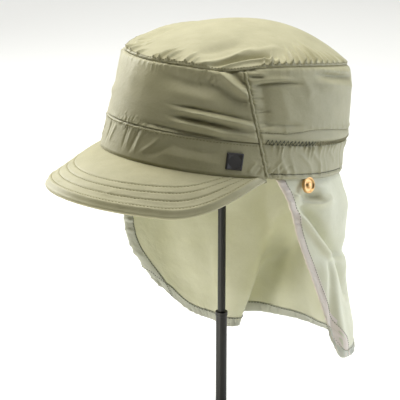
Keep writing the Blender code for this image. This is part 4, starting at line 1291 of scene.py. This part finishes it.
def build_stud(name, node_name):
    """A press stud's cap on its solid's place: a rolled outer ring, a recess and a raised centre."""
    points = np.array([list(v.co) for v in bpy.data.objects[node_name].data.vertices])
    centre = (points.min(axis=0) + points.max(axis=0)) / 2
    axes = np.linalg.eigh(np.cov((points - points.mean(axis=0)).T))[1]
    out = axes[:, 0] * np.sign(axes[0, 0] * centre[0])
    depth = (points - centre) @ out
    bpy.ops.object.select_all(action="DESELECT")
    bpy.ops.mesh.primitive_cylinder_add(vertices=48, radius=STUD_RADIUS, depth=0.0016, calc_uvs=False)
    piece = bpy.context.active_object
    piece.name = name
    bpy.ops.object.mode_set(mode="EDIT")
    bpy.ops.mesh.select_all(action="DESELECT")
    bpy.ops.object.mode_set(mode="OBJECT")
    for face in piece.data.polygons:
        face.select = face.normal.z > 0.9
    bpy.ops.object.mode_set(mode="EDIT")
    for step in STUD_STEPS:
        bpy.ops.mesh.inset(**step)
    bpy.ops.object.mode_set(mode="OBJECT")
    apply_modifier(piece, "BEVEL", width=0.00018, segments=2, limit_method="ANGLE", angle_limit=0.5)
    turn = Vector(out).to_track_quat("Z", "Y").to_matrix().to_4x4()
    place = Vector(centre + out * (depth.min() + 0.0008) + np.array(STUD_SHIFT))
    piece.data.transform(Matrix.Translation(place) @ turn)
    select_only(piece)
    bpy.ops.object.shade_smooth_by_angle(angle=math.radians(40))
    piece.select_set(False)
    dressed(piece, brass, [node_name])


build_patch()
build_stud("press_stud_left", "stud_left")
build_stud("press_stud_right", "stud_right")


# Stand

for node_name, finish in (
    ("stand_foot", enamel), ("stand_tube", enamel), ("stand_rod", steel), ("stand_rest", plastic),
):
    for made in bpy.data.objects[node_name].material_slots:
        made.material = finish


# Camera, light and floor


def look_at(thing, spot):
    thing.rotation_euler = (Vector(spot) - thing.location).to_track_quat("-Z", "Y").to_euler()


def way_to(turn, rise):
    """The direction that this turn from the front and this rise above the floor give."""
    return Vector((math.sin(turn) * math.cos(rise), -math.cos(turn) * math.cos(rise), math.sin(rise)))


def softbox(row, centre, way):
    light = bpy.data.lights.new(row["name"], "AREA")
    light.shape, light.size, light.size_y = "RECTANGLE", row["wide"], row["high"]
    light.energy, light.color = row["watts"], linear(row["colour"])[:3]
    made = bpy.data.objects.new(row["name"], light)
    made.location = centre + way * row["away"]
    bpy.context.collection.objects.link(made)
    look_at(made, centre)


CAMERA_TURN_DEG, CAMERA_RISE_DEG, CAMERA_AWAY, LENS_MM = 47.5, 18.0, 1.2, 139.77
CAMERA_AIM_FRONT, CAMERA_AIM_HEIGHT = 0.0170, 0.2119
WORLD_STRENGTH = 0.02
# turn is degrees to the right of the camera and rise degrees above the floor, seen from the spot aimed at
SOFTBOXES = listed(
    "name turn rise behind aim away wide high watts colour",
    ("wide box", 0, 90, 1.5, 0.0, 1.5, 4.4, 2.8, 56.0, "#FFFFFD"),
    ("top box", 180, 85, 0.0, 0.25, 1.2, 0.7, 0.7, 8.0, "#FFFDF2"),
    ("left box", -128, 22, 0.0, 0.25, 1.2, 0.6, 0.9, 15.0, "#FFFFFD"),
    ("right box", 96, 14, 0.0, 0.16, 1.0, 0.6, 0.8, 5.0, "#DEE8FF"),
    ("low box", -48, -12, 0.0, 0.11, 0.36, 0.10, 0.06, 0.48, "#FFFCF2"),
)


def set_stage():
    azimuth, elevation = math.radians(CAMERA_TURN_DEG), math.radians(CAMERA_RISE_DEG)
    target = Vector((
        -CAMERA_AIM_FRONT * math.cos(azimuth), -CAMERA_AIM_FRONT * math.sin(azimuth), CAMERA_AIM_HEIGHT
    ))
    view = bpy.data.cameras.new("view")
    view.sensor_width, view.lens = 36.0, LENS_MM
    camera = bpy.data.objects.new("view", view)
    bpy.context.collection.objects.link(camera)
    camera.location = target + way_to(azimuth, elevation) * CAMERA_AWAY
    look_at(camera, target)
    bpy.context.scene.camera = camera
    bpy.context.scene.view_settings.view_transform = "Standard"
    world = bpy.data.worlds.new("studio")
    world.use_nodes = True
    world.node_tree.nodes["Background"].inputs["Color"].default_value = linear(ROOM_HEX)
    world.node_tree.nodes["Background"].inputs["Strength"].default_value = WORLD_STRENGTH
    bpy.context.scene.world = world
    for row in SOFTBOXES:
        centre = Vector((-math.sin(azimuth) * row["behind"], math.cos(azimuth) * row["behind"], row["aim"]))
        softbox(row, centre, way_to(azimuth + math.radians(row["turn"]), math.radians(row["rise"])))
    bpy.ops.object.select_all(action="DESELECT")
    bpy.ops.mesh.primitive_plane_add(size=14.0, location=(0, 0, -0.0002))
    floor = bpy.context.active_object
    floor.name = "floor"
    floor.select_set(False)
    # A matt pale floor, which shows only the stand's soft shadow
    floor.data.materials.append(plain("pale_floor", FLOOR_HEX, 0.8, grain_mm=20.0))


set_stage()
